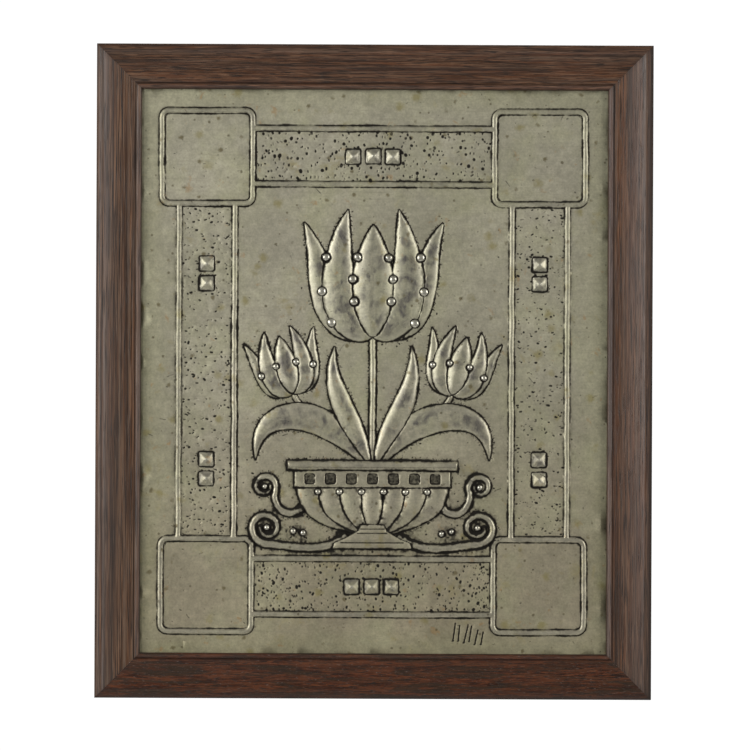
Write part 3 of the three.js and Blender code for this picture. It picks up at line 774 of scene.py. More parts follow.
def sheet_surface(points, forms, marks):
    """Height, patina, tarnish, polish and dust at each place."""
    height = 0.09 * lattice_noise(points, 34.0, 11) + 0.045 * lattice_noise(points, 11.0, 12)
    height += 0.018 * lattice_noise(points, 3.4, 13)
    ground = height.copy()
    patina, tarnish, polish, dust = (np.zeros(len(points)) for _ in range(4))
    wander = lattice_noise(points, 5.0, 21)
    fray = lattice_noise(points, 1.3, 22)
    fading = 0.86 + 0.2 * lattice_noise(points, 12.0, 23) + 0.14 * wander
    smoke = smooth(-0.35, 0.7, wander * 0.5 + fray * 0.7)
    pooling = 1.0 + 0.7 * np.clip(lattice_noise(points, 8.0, 24), 0, None)
    x, y = np.abs(points).T
    lowness = smooth(-20.0, -85.0, points[:, 1]) * smooth(BAND_INNER[1], BAND_INNER[1] - 3, y)
    outermost = smooth(BAND_MIDDLE[0], BAND_MIDDLE[0] + 2, x)
    outermost *= smooth(BLOCK_INNER[1] + 1, BLOCK_INNER[1] - 6, y)
    stray = hand_wobble(points)
    for form in forms:
        near = np.nonzero(within(form, points))[0]
        if len(near) == 0:
            continue
        kind, drift, low = form.kind, wander[near], lowness[near]
        wobble = RIDGE_WOBBLE if kind == "ridge" else 1.0
        distance, across, along = form.measure(points[near] + wobble * stray[near])
        softness = RIDGE_EDGE_SOFTNESS if kind == "ridge" else EDGE_SOFTNESS
        inside = 1.0 / (1.0 + np.exp(np.clip(distance / softness, -40, 40)))
        outside = 1.0 - inside
        away = np.clip(distance, 0, None)
        top = form.height(across, along) + ground[near] * 0.5
        if kind in LEAFY:
            top += midrib(form, across, along)
        height[near] = height[near] * outside + top * inside

        width = LINE_WIDTH.get(kind, LINE_WIDTH_OTHERS) * (1.0 + 0.3 * drift + 0.45 * fray[near])
        width *= pooling[near]
        off_line = 0.0 if kind == "window" else LINE_OFFSET
        line = np.exp(-(((distance - off_line) / np.maximum(width, 0.12)) ** 2))
        height[near] -= LINE_DEPTH * line * (0.75 + 0.25 * drift)

        soot = 0.62 * np.exp(-away / 0.8) * smoke[near]
        if kind in ("scroll", "foot", "lobe", "leaf", "bead"):
            soot = np.maximum(soot, low * np.exp(-away / 2.4) * (0.4 + 0.7 * smoke[near]))
        strength = 0.95 + 0.1 * drift
        if kind == "ridge":
            strength = np.clip(fading[near], 0.45, 1.0) * (1.0 - 0.28 * outermost[near])
        patina[near] = patina[near] * outside + soot * outside * 0.7
        patina[near] = np.maximum(patina[near], np.clip(line * strength, 0, 1))
        if kind == "window":
            patina[near] = np.maximum(patina[near], (0.6 + 0.06 * fray[near]) * inside)

        halo = np.exp(-away / DUST_SPREAD.get(kind, DUST_SPREAD_OTHERS))
        halo *= 0.45 + 0.35 * drift + 0.25 * low
        dust[near] = np.maximum(dust[near], DUST * halo) * outside

        stain, shine = 0.0, POLISH.get(kind, 0.0) * inside
        if kind in LEAFY:
            stain = inside * smooth(0.95, 0.35, across) * smooth(0.0, 0.35, 1.0 - np.abs(2 * along - 1))
            shine *= 0.3 + 0.7 * smooth(0.25, 0.7, across)
            shine *= 1.0 - 0.75 * smooth(0.86, 1.0, across)
        elif kind in ("lobe", "foot", "scroll", "rim", "band"):
            stain = inside * 0.45 * (1.0 - across)
        elif kind == "ridge":
            stain = inside * 0.4
            shine = inside * 0.28 * smooth(20.0, -140.0, points[near, 1])
        elif kind == "stud":
            stain = inside * 0.9 * smooth(0.1, 0.4, across)
            shine = inside * (0.02 + 0.6 * smooth(0.3, 0.08, across) + 0.2 * smooth(0.8, 0.92, across))
        tarnish[near] = tarnish[near] * outside + stain
        polish[near] = polish[near] * outside + shine
    marks.apply(points, height, patina)
    return height, *(np.clip(field, 0, 1) for field in (patina, tarnish, polish, dust))


def midrib(form, across, along):
    """A fine sunk line down the middle of a leaf or petal, fading out at both ends."""
    offset = across * form.half(along)
    depth = 0.22 * smooth(0.06, 0.2, along) * (1.0 - smooth(0.7, 0.9, along))
    return -depth * np.exp(-((offset / 0.4) ** 2))


# A mesh of square cells, split where there is fine work, with no gaps between sizes. It is
# then thinned where it is flat, and its heights are worked out again at the places kept.

CELLS = (84, 100)
LEVELS = 3
FINEST = 2 ** LEVELS
LATTICE = np.array(CELLS) * FINEST
TRIANGLES_KEPT = 193000
PATINA_WEIGHT = 0.5
DUST_WEIGHT = 0.15
SKIRT_DEPTH = 20.0


def cells_needed(forms, marks):
    """The depth of splitting wanted at each of the finest cells."""
    x, y = ((np.arange(count) + 0.5) / count * size - size / 2 for count, size in zip(LATTICE, SHEET_SIZE))
    grid = np.stack(np.meshgrid(x, y, indexing="ij"), -1).reshape(-1, 2) - DESIGN_SHIFT
    need = np.zeros(len(grid), dtype=int)
    covered = np.zeros(len(grid), dtype=bool)
    for form in reversed(forms):
        near = np.nonzero(within(form, grid) & ~covered)[0]
        distance, across, _ = form.measure(grid[near])
        wanted = np.zeros(len(near), dtype=int)
        wanted[distance < 0.5] = 1
        wanted[(distance < 0.6) & (distance > -3.0)] = 2
        if form.kind in ("bead", "stud", "window", "ridge", "stem", "scroll"):
            wanted[distance < 0.6] = 2
        wanted[np.abs(distance - 0.15) < 0.62] = 3
        if form.kind == "bead":
            wanted[distance < 0.7] = 3
        if form.kind == "stud":
            wanted[(distance < 0.7) & (distance > -1.1)] = 3
        if form.kind in LEAFY:
            midline = np.abs(across * 8) < 0.5
            wanted[midline] = np.maximum(wanted[midline], 2)
        need[near] = np.maximum(need[near], wanted)
        covered[near[distance < -0.6]] = True
    need = need.reshape(LATTICE)
    cell = SHEET_SIZE / LATTICE
    corner = -SHEET_SIZE / 2 - DESIGN_SHIFT
    for x0, y0, x1, y1, radius, *_ in marks.rows:
        run = np.array([x1 - x0, y1 - y0])
        for part in np.linspace(0, 1, max(2, int(math.hypot(*run) / 0.3) + 1)):
            place = run * part + [x0, y0]
            low = np.floor((place - radius - 0.1 - corner) / cell).astype(int)
            high = np.floor((place + radius + 0.1 - corner) / cell).astype(int)
            low, high = np.clip((low, high), 0, LATTICE - 1)
            need[low[0]:high[0] + 1, low[1]:high[1] + 1] = LEVELS
    return need


def grown(mask):
    """The mask with each cell's eight neighbours added."""
    padded = np.pad(mask, 1)
    out = np.zeros_like(mask)
    for i in range(3):
        for j in range(3):
            out |= padded[i:i + mask.shape[0], j:j + mask.shape[1]]
    return out


def by_blocks(mask, size):
    shape = mask.shape[0] // size, size, mask.shape[1] // size, size
    return mask.reshape(shape).any(axis=(1, 3))


def split_masks(need):
    """For each level, which of its cells are split into four."""
    split = [by_blocks(need > level, FINEST >> level) for level in range(LEVELS)]
    for level in range(LEVELS - 1, 0, -1):
        split[level - 1] |= by_blocks(grown(split[level]), 2)
    return split


def adaptive_faces(split):
    """Triangles over the lattice of finest corners, with fans where sizes meet."""
    triangles = []

    def corner(i, j):
        return i * (LATTICE[1] + 1) + j

    for level in range(LEVELS + 1):
        size = FINEST >> level
        half = size // 2
        exists = split[level - 1].repeat(2, 0).repeat(2, 1) if level else np.ones(CELLS, dtype=bool)
        is_split = split[level] if level < LEVELS else np.zeros_like(exists)
        leaf = exists & ~is_split
        padded = np.pad(is_split, 1)
        sides = np.stack([padded[1:-1, :-2], padded[2:, 1:-1], padded[1:-1, 2:], padded[:-2, 1:-1]])
        plain = leaf & ~sides.any(0)
        i, j = (index * size for index in np.nonzero(plain))
        a, b, c, d = corner(i, j), corner(i + size, j), corner(i + size, j + size), corner(i, j + size)
        odd = ((i // size + j // size) % 2).astype(bool)
        triangles.append(np.stack([a, b, np.where(odd, c, d)], 1))
        triangles.append(np.stack([np.where(odd, a, b), c, d], 1))
        round_cell = (
            ((0, 0), (half, 0)), ((size, 0), (size, half)),
            ((size, size), (half, size)), ((0, size), (0, half)),
        )
        for ci, cj in zip(*np.nonzero(leaf & ~plain)):
            i, j = ci * size, cj * size
            loop = []
            for side, steps in zip(sides[:, ci, cj], round_cell):
                loop += [corner(i + right, j + up) for right, up in (steps if side else steps[:1])]
            middle = corner(i + half, j + half)
            triangles.append(np.array([(middle, loop[k - 1], loop[k]) for k in range(1, len(loop))]
                                      + [(middle, loop[-1], loop[0])]))
    return np.vstack(triangles)


def thinned(points, faces):
    """The same surface with fewer triangles, most of them where it bends."""
    fine = bpy.data.meshes.new("fine_sheet")
    fine.from_pydata(points, [], faces)
    carrier = add_object("fine_sheet", fine)
    thinning = carrier.modifiers.new("thinning", "DECIMATE")
    thinning.ratio = TRIANGLES_KEPT / len(faces)
    shaped = carrier.evaluated_get(bpy.context.evaluated_depsgraph_get())
    thin = bpy.data.meshes.new_from_object(shaped)
    places = np.empty(len(thin.vertices) * 3)
    thin.vertices.foreach_get("co", places)
    left = [tuple(face.vertices) for face in thin.polygons]
    bpy.data.objects.remove(carrier)
    bpy.data.meshes.remove(fine)
    bpy.data.meshes.remove(thin)
    return places.reshape(-1, 3), left


def close_back(mesh):
    """Fills the open back of the sheet with one flat face."""
    sheet = bmesh.new()
    sheet.from_mesh(mesh)
    bmesh.ops.holes_fill(sheet, edges=[edge for edge in sheet.edges if edge.is_boundary])
    bmesh.ops.recalc_face_normals(sheet, faces=sheet.faces)
    sheet.to_mesh(mesh)
    sheet.free()


def make_marks(border, plant):
    """All the sunk marks, drawn in a fixed order from one seed."""
    rng = np.random.default_rng(SEED)
    marks = Marks()
    band_marks(marks, rng, [form for form in border if form.kind == "stud"])
    edge_ticks(marks, rng, plant)
    near_marks(marks, rng, plant)
    stray_marks(marks, rng)
    stroke_row(marks, rng)
    turned_lines(marks)
    # Painted shade in the inside corners of the blocks.
    corner_shade(marks, rng)
    return marks


def relief_mesh(forms, marks):
    """A thinned mesh of the front with a deep open skirt. Dark places lie deeper in it, so that
    the thinning keeps their outlines."""
    triangles = adaptive_faces(split_masks(cells_needed(forms, marks)))
    codes, index = np.unique(triangles, return_inverse=True)
    column = LATTICE[1] + 1
    places = np.stack(np.divmod(codes, column), 1) / LATTICE * SHEET_SIZE - SHEET_SIZE / 2
    height, patina, _, _, dust = sheet_surface(places - DESIGN_SHIFT, forms, marks)
    relief = height - PATINA_WEIGHT * patina - DUST_WEIGHT * dust
    used = {code: i for i, code in enumerate(codes)}
    loop = [used[i * column + j] for i, j in rim(*LATTICE) if i * column + j in used]
    first, ring = len(places), len(loop)
    skirt = [(loop[(k + 1) % ring], loop[k], first + k, first + (k + 1) % ring) for k in range(ring)]
    hem = np.column_stack([places[loop], np.full(ring, -SKIRT_DEPTH)])
    points = np.vstack([np.column_stack([places, relief]), hem])
    return thinned(points, index.reshape(-1, 3).tolist() + skirt)


def make_pewter_panel(material):
    border = border_forms()
    plant = stem_and_leaf_forms() + flower_forms() + scroll_forms() + bowl_forms()
    forms = border + plant
    marks = make_marks(border, plant)
    points, faces = relief_mesh(forms, marks)

    half = SHEET_SIZE / 2
    places = points[:, :2]
    places = np.where(np.abs(places) > half - 0.05, np.copysign(half, places), places)
    behind = points[:, 2] < -SKIRT_DEPTH / 2
    height, patina, tarnish, polish, dust = sheet_surface(places - DESIGN_SHIFT, forms, marks)
    hidden = (SIGHT_SIZE / 2 - np.abs(places)).min(1)
    height = np.where(hidden < 0.5, np.minimum(height, 0.0), height)
    level = np.where(behind, SHEET_BACK, SHEET_FRONT + height)
    piece = mesh_piece("pewter_relief", np.column_stack([places, level]), faces, material, fields={
        "patina": np.where(behind, 0.15, patina),
        "tarnish": np.where(behind, 0.0, tarnish),
        "polish": np.where(behind, 0.0, polish),
        "dust": np.where(behind, 0.0, dust),
        "dull": np.where(behind, 1.0, smooth(17.0, 1.0, hidden)),
    })
    close_back(piece.data)
    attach(piece, "root")
    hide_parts("pewter_panel")


# The moulding

def arc(centre, radius_x, radius_y, start, end, steps):
    angle = np.radians(np.linspace(start, end, steps + 1))
    return [(centre[0] + radius_x * math.cos(a), centre[1] + radius_y * math.sin(a)) for a in angle]


def moulding_profile():
    """From the back outer corner over the front to the back inner corner: inward, forward."""
    quirk_inner = MOULDING_WIDTH - LIP_BEAD_WIDTH
    quirk_outer = quirk_inner - QUIRK_WIDTH
    shoulder_foot = FRAME_DEPTH - SHOULDER_DROP
    crest = np.array([SHOULDER_WIDTH, FRAME_DEPTH])
    foot = np.array([quirk_outer, HOLLOW_FOOT_HEIGHT])
    belly = (crest + foot) / 2 - [0, 2 * HOLLOW_SAG]
    t = np.linspace(0, 1, 15)[:, None]
    hollow = (1 - t) ** 2 * crest + 2 * t * (1 - t) * belly + t * t * foot
    rise_width = LIP_BEAD_WIDTH * LIP_CREST_SHARE
    fall_width = LIP_BEAD_WIDTH - rise_width
    quirk_middle = (quirk_inner + quirk_outer) / 2
    quirk_floor = HOLLOW_FOOT_HEIGHT - QUIRK_DEPTH
    lip_rise = (quirk_inner + rise_width, HOLLOW_FOOT_HEIGHT)
    lip_fall = (quirk_inner + rise_width, LIP_HEIGHT - LIP_EDGE_DROP)
    return np.array([
        (0.0, 0.0), (0.0, 3.0), (0.0, 8.0), (0.0, 12.0),
        *arc((SHOULDER_WIDTH, shoulder_foot), SHOULDER_WIDTH, SHOULDER_DROP, 180, 90, 12),
        *hollow[1:],
        (quirk_middle - 0.18, quirk_floor + 0.12), (quirk_middle, quirk_floor),
        (quirk_middle + 0.18, quirk_floor + 0.12),
        *arc(lip_rise, rise_width, LIP_HEIGHT - HOLLOW_FOOT_HEIGHT, 180, 90, 10),
        *arc(lip_fall, fall_width, LIP_EDGE_DROP, 90, 0, 9)[1:],
        (MOULDING_WIDTH, RABBET_DEPTH + 0.2), (MOULDING_WIDTH - 0.2, RABBET_DEPTH),
        (LAND_WIDTH, RABBET_DEPTH), (LAND_WIDTH, 5.0), (LAND_WIDTH, 0.0), (LAND_WIDTH / 2, 0.0),
    ])


RAIL_STEPS = 90
# In each look, the crest and lip values set a painted highlight and the edge value sets a painted shade
# along the outer edge. Redness and grain length set the wood's own tone and grain.
RAILS = {
    "top_rail": dict(
        corner=(1, 1), inward=(0, -1), along=(-1, 0),
        look=dict(redness=0.3, edge_shade=0.2, crest_sheen=0.25, lip_sheen=0.25, grain_length=1.2),
    ),
    "left_stile": dict(
        corner=(-1, 1), inward=(1, 0), along=(0, -1),
        look=dict(redness=0.0, edge_shade=0.25, crest_sheen=1.0, lip_sheen=0.3, grain_length=3.0),
    ),
    "bottom_rail": dict(
        corner=(-1, -1), inward=(0, 1), along=(1, 0),
        look=dict(redness=1.0, edge_shade=0.6, crest_sheen=0.1, lip_sheen=0.1, grain_length=0.6),
    ),
    "right_stile": dict(
        corner=(1, -1), inward=(-1, 0), along=(0, 1),
        look=dict(redness=0.3, edge_shade=1.1, crest_sheen=0.8, lip_sheen=0.6, grain_length=2.4),
    ),
}


def make_rail(node, corner, inward, along, look, number, material):
    """One side of the moulding, mitred, with slight dents in its face, a painted highlight along its crest
    and lip, and painted shade along its outer edge.
    """
    profile = moulding_profile()
    length = FRAME_SIZE[0 if along[0] else 1]
    rng = np.random.default_rng(SEED + number)
    ring = len(profile)
    around = np.concatenate([[0.0], np.cumsum(np.hypot(*np.diff(profile, axis=0).T))])
    around = np.tile(around, RAIL_STEPS + 1)
    offset, depth = np.tile(profile, (RAIL_STEPS + 1, 1)).T
    first = offset + GLUE_LINE / 2
    station = first + (length - 2 * first) * np.repeat(np.arange(RAIL_STEPS + 1), ring) / RAIL_STEPS
    start = np.array(corner) * FRAME_SIZE / 2
    flat = start + offset[:, None] * np.array(inward, float) + station[:, None] * np.array(along, float)
    surface = np.column_stack([station, around])
    swell = 0.035 * lattice_noise(surface / [6.0, 1.0], 3.0, 40 + number)
    swell += 0.02 * lattice_noise(surface / [9.0, 1.0], 0.9, 50 + number)
    front = smooth(6.0, 10.0, depth)
    points = np.column_stack([flat, depth + np.clip(swell, -0.06, 0.0) * front])

    faces = []
    for k in range(0, RAIL_STEPS * ring, ring):
        for i in range(ring):
            j = (i + 1) % ring
            faces.append((k + i, k + j, k + ring + j, k + ring + i))
    faces.append(tuple(range(ring - 1, -1, -1)))
    faces.append(tuple(range(RAIL_STEPS * ring, (RAIL_STEPS + 1) * ring)))

    def band(centre, width):
        return np.exp(-(((offset - centre) / width) ** 2))

    # Painted highlight: lighter bands along the crest and the lip, strongest on the stiles.
    crest = band(SHOULDER_WIDTH + 0.25, 0.5) * front
    crest *= look["crest_sheen"] * (0.75 + 0.5 * lattice_noise(surface / [4.0, 1.0], 5.0, 60 + number))
    lip = band(MOULDING_WIDTH - 0.6 * LIP_BEAD_WIDTH, 0.8) * front
    quirk = band(MOULDING_WIDTH - LIP_BEAD_WIDTH - QUIRK_WIDTH / 2, 0.5) * front
    sight = smooth(MOULDING_WIDTH - 0.7, MOULDING_WIDTH, offset) * front
    mitre = np.minimum(station - offset, length - station - offset)
    joint = np.exp(-((mitre / 0.35) ** 2))
    # Darker in the quirk, at the sight edge and along the mitre joint, with painted shade along the outer
    # edge, set per rail.
    dirt_and_shade = 0.5 * quirk + 0.6 * sight + 0.2 * joint + look["edge_shade"] * band(0.0, 2.8)
    shift = rng.uniform(0, 400)
    piece = mesh_piece(f"{node}_moulding", points, faces, material, fields={
        "along": (station / look["grain_length"] + shift + 500 * number) * MM,
        "across": around * MM,
        "painted_sheen": np.clip(crest + look["lip_sheen"] * lip, 0, 1),
        "grime_and_shade": np.clip(dirt_and_shade, 0, 1),
        "bare": 1.0 - smooth(0.2, 1.5, depth),
        "red": np.full(len(points), look["redness"]),
    })
    piece.data.set_sharp_from_angle(angle=math.radians(28))
    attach(piece, "root")
    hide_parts(node)


# The backing board, with softened edges and a slight warp

def make_backing_board(material):
    half_x, _, half_y = (BOARD_HIGH - BOARD_LOW) / 2
    back, front = -BOARD_HIGH[1], -BOARD_LOW[1]
    inset = 0.35
    columns, rows = 24, 28
    x = np.linspace(-half_x + inset, half_x - inset, columns + 1)
    y = np.linspace(-half_y + inset, half_y - inset, rows + 1)
    grid = np.stack(np.meshgrid(x, y, indexing="ij"), -1).reshape(-1, 2)
    warp = 0.05 * (1 + lattice_noise(grid, 60.0, 71))
    points = [np.column_stack([grid, back + warp]), np.column_stack([grid, np.full(len(grid), front)])]

    def at(i, j, layer):
        return layer * len(grid) + i * (rows + 1) + j

    faces = []
    for i in range(columns):
        for j in range(rows):
            faces.append((at(i, j, 0), at(i, j + 1, 0), at(i + 1, j + 1, 0), at(i + 1, j, 0)))
            faces.append((at(i, j, 1), at(i + 1, j, 1), at(i + 1, j + 1, 1), at(i, j + 1, 1)))
    loop = rim(columns, rows)
    for level in (back + inset + 0.1, front - inset):
        edge = []
        for i, j in loop:
            across = math.copysign(half_x, x[i]) if i in (0, columns) else x[i]
            up = math.copysign(half_y, y[j]) if j in (0, rows) else y[j]
            edge.append((across, up, level))
        points.append(np.array(edge))
    first, ring = 2 * len(grid), len(loop)
    for k in range(ring):
        m = (k + 1) % ring
        (i0, j0), (i1, j1) = loop[k], loop[m]
        faces.append((at(i0, j0, 0), at(i1, j1, 0), first + m, first + k))
        faces.append((first + k, first + m, first + ring + m, first + ring + k))
        faces.append((first + ring + k, first + ring + m, at(i1, j1, 1), at(i0, j0, 1)))
    piece = mesh_piece("hardboard_back", np.vstack(points), faces, material, smooth_shading=False)
    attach(piece, "root")
    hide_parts("backing_board")


# Materials

class Nodes:
    """A material's node tree with short calls for what is used here."""

    def __init__(self, name):
        self.material = bpy.data.materials.new(name)
        self.material.use_nodes = True
        self.tree = self.material.node_tree
        self.shader = self.tree.nodes["Principled BSDF"]

    def add(self, kind, **settings):
        node = self.tree.nodes.new(kind)
        for name, value in settings.items():
            setattr(node, name, value)
        return node

    def link(self, source, target):
        self.tree.links.new(source, target)
        return source

    def feed(self, socket, value):
        if isinstance(value, bpy.types.NodeSocket):
            self.link(value, socket)
        else:
            socket.default_value = value

    def place(self):
        return self.add("ShaderNodeTexCoord").outputs["Object"]

    def field(self, name):
        return self.add("ShaderNodeAttribute", attribute_name=name).outputs["Fac"]

    def vector(self, x, y, z):
        node = self.add("ShaderNodeCombineXYZ")
        for socket, value in zip(node.inputs, (x, y, z)):
            self.feed(socket, value)
        return node.outputs[0]

    def noise(self, vector, scale, detail=3.0, roughness=0.55, distortion=0.0):
        node = self.add("ShaderNodeTexNoise")
        self.link(vector, node.inputs["Vector"])
        settings = {"Scale": scale, "Detail": detail, "Roughness": roughness, "Distortion": distortion}
        for name, value in settings.items():
            node.inputs[name].default_value = value
        return node.outputs["Fac"]

    def ramp(self, value, *stops):
        node = self.add("ShaderNodeValToRGB")
        self.link(value, node.inputs["Fac"])
        elements = node.color_ramp.elements
        while len(elements) < len(stops):
            elements.new(0.5)
        for element, (at, colour) in zip(elements, stops):
            element.position = at
            element.color = (*(colour if isinstance(colour, tuple) else [colour] * 3), 1.0)
        return node.outputs["Color"]

    def math(self, operation, a, b=0.0, clamp=False):
        node = self.add("ShaderNodeMath", operation=operation, use_clamp=clamp)
        self.feed(node.inputs[0], a)
        self.feed(node.inputs[1], b)
        return node.outputs[0]

    def mix(self, factor, a, b, blend="MIX"):
        node = self.add("ShaderNodeMix", data_type="RGBA", blend_type=blend)
        self.feed(node.inputs["Factor"], factor)
        for i, value in ((6, a), (7, b)):
            self.feed(node.inputs[i], (*value, 1.0) if isinstance(value, tuple) else value)
        return node.outputs[2]

    def scaled(self, vector, x, y, z, turn=0.0):
        node = self.add("ShaderNodeMapping")
        self.link(vector, node.inputs["Vector"])
        node.inputs["Rotation"].default_value = (0.0, turn, 0.0)
        node.inputs["Scale"].default_value = (x, y, z)
        return node.outputs[0]

    def where(self, field, mask):
        """Both at once: a share of a field, or a mask within it."""
        return self.math("MULTIPLY", field, mask)

    def patched(self, base, noise, start, end, strength, colour):
        """The base with a colour laid on where the noise is high."""
        return self.mix(self.ramp(noise, (start, 0.0), (end, strength)), base, colour)

    def varied(self, base, noise, low, high):
        """The base made darker and lighter by a noise."""
        return self.mix(1.0, base, self.ramp(noise, low, high), "MULTIPLY")

    def bump(self, height, distance, strength=1.0, normal=None):
        node = self.add("ShaderNodeBump")
        node.inputs["Strength"].default_value = strength
        node.inputs["Distance"].default_value = distance
        self.link(height, node.inputs["Height"])
        if normal is not None:
            self.link(normal, node.inputs["Normal"])
        return node.outputs[0]

    def finish(self, colour, roughness, metallic=None, normal=None):
        self.link(colour, self.shader.inputs["Base Color"])
        self.link(roughness, self.shader.inputs["Roughness"])
        if metallic is not None:
            self.feed(self.shader.inputs["Metallic"], metallic)
        if normal is not None:
            self.link(normal, self.shader.inputs["Normal"])
        return self.material


def pewter_material():
    nodes = Nodes("old_pewter")
    place = nodes.place()
    patina, tarnish, polish = (nodes.field(name) for name in ("patina", "tarnish", "polish"))
    broad = nodes.noise(place, 9.0, 3.0, 0.6)
    clouds = nodes.noise(place, 45.0, 4.0, 0.6)
    grain = nodes.noise(place, 900.0, 2.0, 0.6)
    # Painted shade: the metal turns darker and yellower towards the bottom of the panel, standing in for
    # light that falls off downwards.
    level = nodes.add("ShaderNodeSeparateXYZ")
    nodes.link(place, level.inputs[0])
    downward = nodes.add("ShaderNodeMapRange", clamp=True)
    nodes.link(level.outputs[2], downward.inputs["Value"])
    downward.inputs["From Min"].default_value = SHEET_HIGH[2] * MM
    downward.inputs["From Max"].default_value = SHEET_LOW[2] * MM

    metal = nodes.ramp(
        broad, (0.35, (0.33, 0.315, 0.228)), (0.5, (0.35, 0.332, 0.248)), (0.65, (0.368, 0.346, 0.265)),
    )
    painted_shade_low = nodes.ramp(broad, (0.35, (0.268, 0.232, 0.15)), (0.65, (0.305, 0.264, 0.178)))
    lower = nodes.ramp(downward.outputs[0], (0.14, 0.14), (0.5, 0.22), (0.88, 0.88))
    metal = nodes.mix(lower, metal, painted_shade_low)
    metal = nodes.patched(metal, clouds, 0.42, 0.72, 0.7, (0.25, 0.245, 0.145))
    metal = nodes.varied(metal, nodes.noise(place, 22.0, 3.0, 0.6), (0.35, 0.84), (0.65, 1.06))
    dull = nodes.where(nodes.field("dull"), nodes.ramp(clouds, (0.3, 0.6), (0.65, 0.0)))
    metal = nodes.mix(dull, metal, (0.24, 0.235, 0.12))
    metal = nodes.mix(nodes.where(polish, 0.85), metal, (0.52, 0.50, 0.43))
    metal = nodes.varied(metal, grain, (0.3, 0.88), (0.7, 1.1))
    metal = nodes.varied(metal, nodes.noise(place, 260.0, 3.0, 0.65), (0.3, 0.86), (0.7, 1.12))
    for turn, scale in ((0.35, 37.0), (1.9, 29.0), (-0.6, 33.0)):
        rub = nodes.noise(nodes.scaled(place, 1.0, 1.0, 22.0, turn), scale, 2.0, 0.7)
        metal = nodes.patched(metal, rub, 0.60, 0.70, 0.22, (0.20, 0.185, 0.13))

    stain = nodes.noise(place, 60.0, 5.0, 0.7, 0.4)
    metal = nodes.patched(metal, stain, 0.60, 0.72, 0.6, (0.24, 0.20, 0.085))
    rust = nodes.noise(place, 135.0, 3.0, 0.65, 0.3)
    metal = nodes.patched(metal, rust, 0.66, 0.73, 0.5, (0.27, 0.16, 0.06))
    specks = nodes.noise(place, 420.0, 2.0, 0.6)
    metal = nodes.patched(metal, specks, 0.70, 0.76, 0.7, (0.07, 0.055, 0.03))

    drift = nodes.noise(place, 110.0, 3.0, 0.6, 0.5)
    blotch = nodes.noise(nodes.scaled(place, 1.0, 1.0, 0.45), 330.0, 4.0, 0.7, 0.5)
    blotch = nodes.ramp(blotch, (0.48, 0.0), (0.66, 0.5))
    mottle = nodes.math("ADD", nodes.ramp(drift, (0.44, 0.0), (0.62, 0.75)), blotch)
    mottle = nodes.math("MULTIPLY", tarnish, mottle, clamp=True)
    tint = nodes.ramp(drift, (0.4, (0.19, 0.185, 0.135)), (0.62, (0.092, 0.084, 0.074)))
    metal = nodes.mix(mottle, metal, tint)

    uneven = nodes.math("SUBTRACT", nodes.noise(place, 300.0, 3.0, 0.65), 0.5)
    uneven = nodes.where(uneven, 0.35)
    for scale, inner, outer, strength, colour in (
        (62.0, 0.06, 0.2, 0.65, (0.20, 0.17, 0.06)),
        (88.0, 0.04, 0.13, 0.8, (0.10, 0.08, 0.035)),
        (150.0, 0.04, 0.12, 0.75, (0.075, 0.06, 0.03)),
    ):
        cells = nodes.add("ShaderNodeTexVoronoi")
        nodes.link(place, cells.inputs["Vector"])
        cells.inputs["Scale"].default_value = scale
        away = nodes.math("ADD", cells.outputs["Distance"], uneven)
        metal = nodes.mix(nodes.ramp(away, (inner, strength), (outer, 0.0)), metal, colour)

    dust = nodes.ramp(nodes.noise(place, 480.0, 4.0, 0.7, 0.5), (0.36, 0.25), (0.62, 1.0))
    metal = nodes.mix(nodes.where(nodes.field("dust"), dust), metal, (0.115, 0.095, 0.052))

    ragged = nodes.math("SUBTRACT", nodes.noise(place, 700.0, 3.0, 0.6), 0.5)
    ragged = nodes.where(ragged, nodes.ramp(patina, (0.02, 0.0), (0.15, 0.55)))
    soot = nodes.ramp(nodes.math("ADD", patina, ragged, clamp=True), (0.12, 0.0), (0.68, 1.0))
    colour = nodes.mix(soot, metal, (0.010, 0.008, 0.005))

    rough = nodes.ramp(clouds, (0.3, 0.40), (0.7, 0.5))
    rough = nodes.mix(polish, rough, (0.28, 0.28, 0.28))
    rough = nodes.mix(soot, rough, (0.95, 0.95, 0.95))
    metallic = nodes.mix(polish, (0.6, 0.6, 0.6), (0.95, 0.95, 0.95))
    metallic = nodes.mix(soot, metallic, (0.6, 0.6, 0.6))
    scratch = nodes.noise(nodes.scaled(place, 1.0, 1.0, 14.0), 260.0, 2.0, 0.5)
    normal = nodes.bump(grain, 0.00005, 0.4, nodes.bump(scratch, 0.00006, 0.35))
    return nodes.finish(colour, rough, metallic, normal)


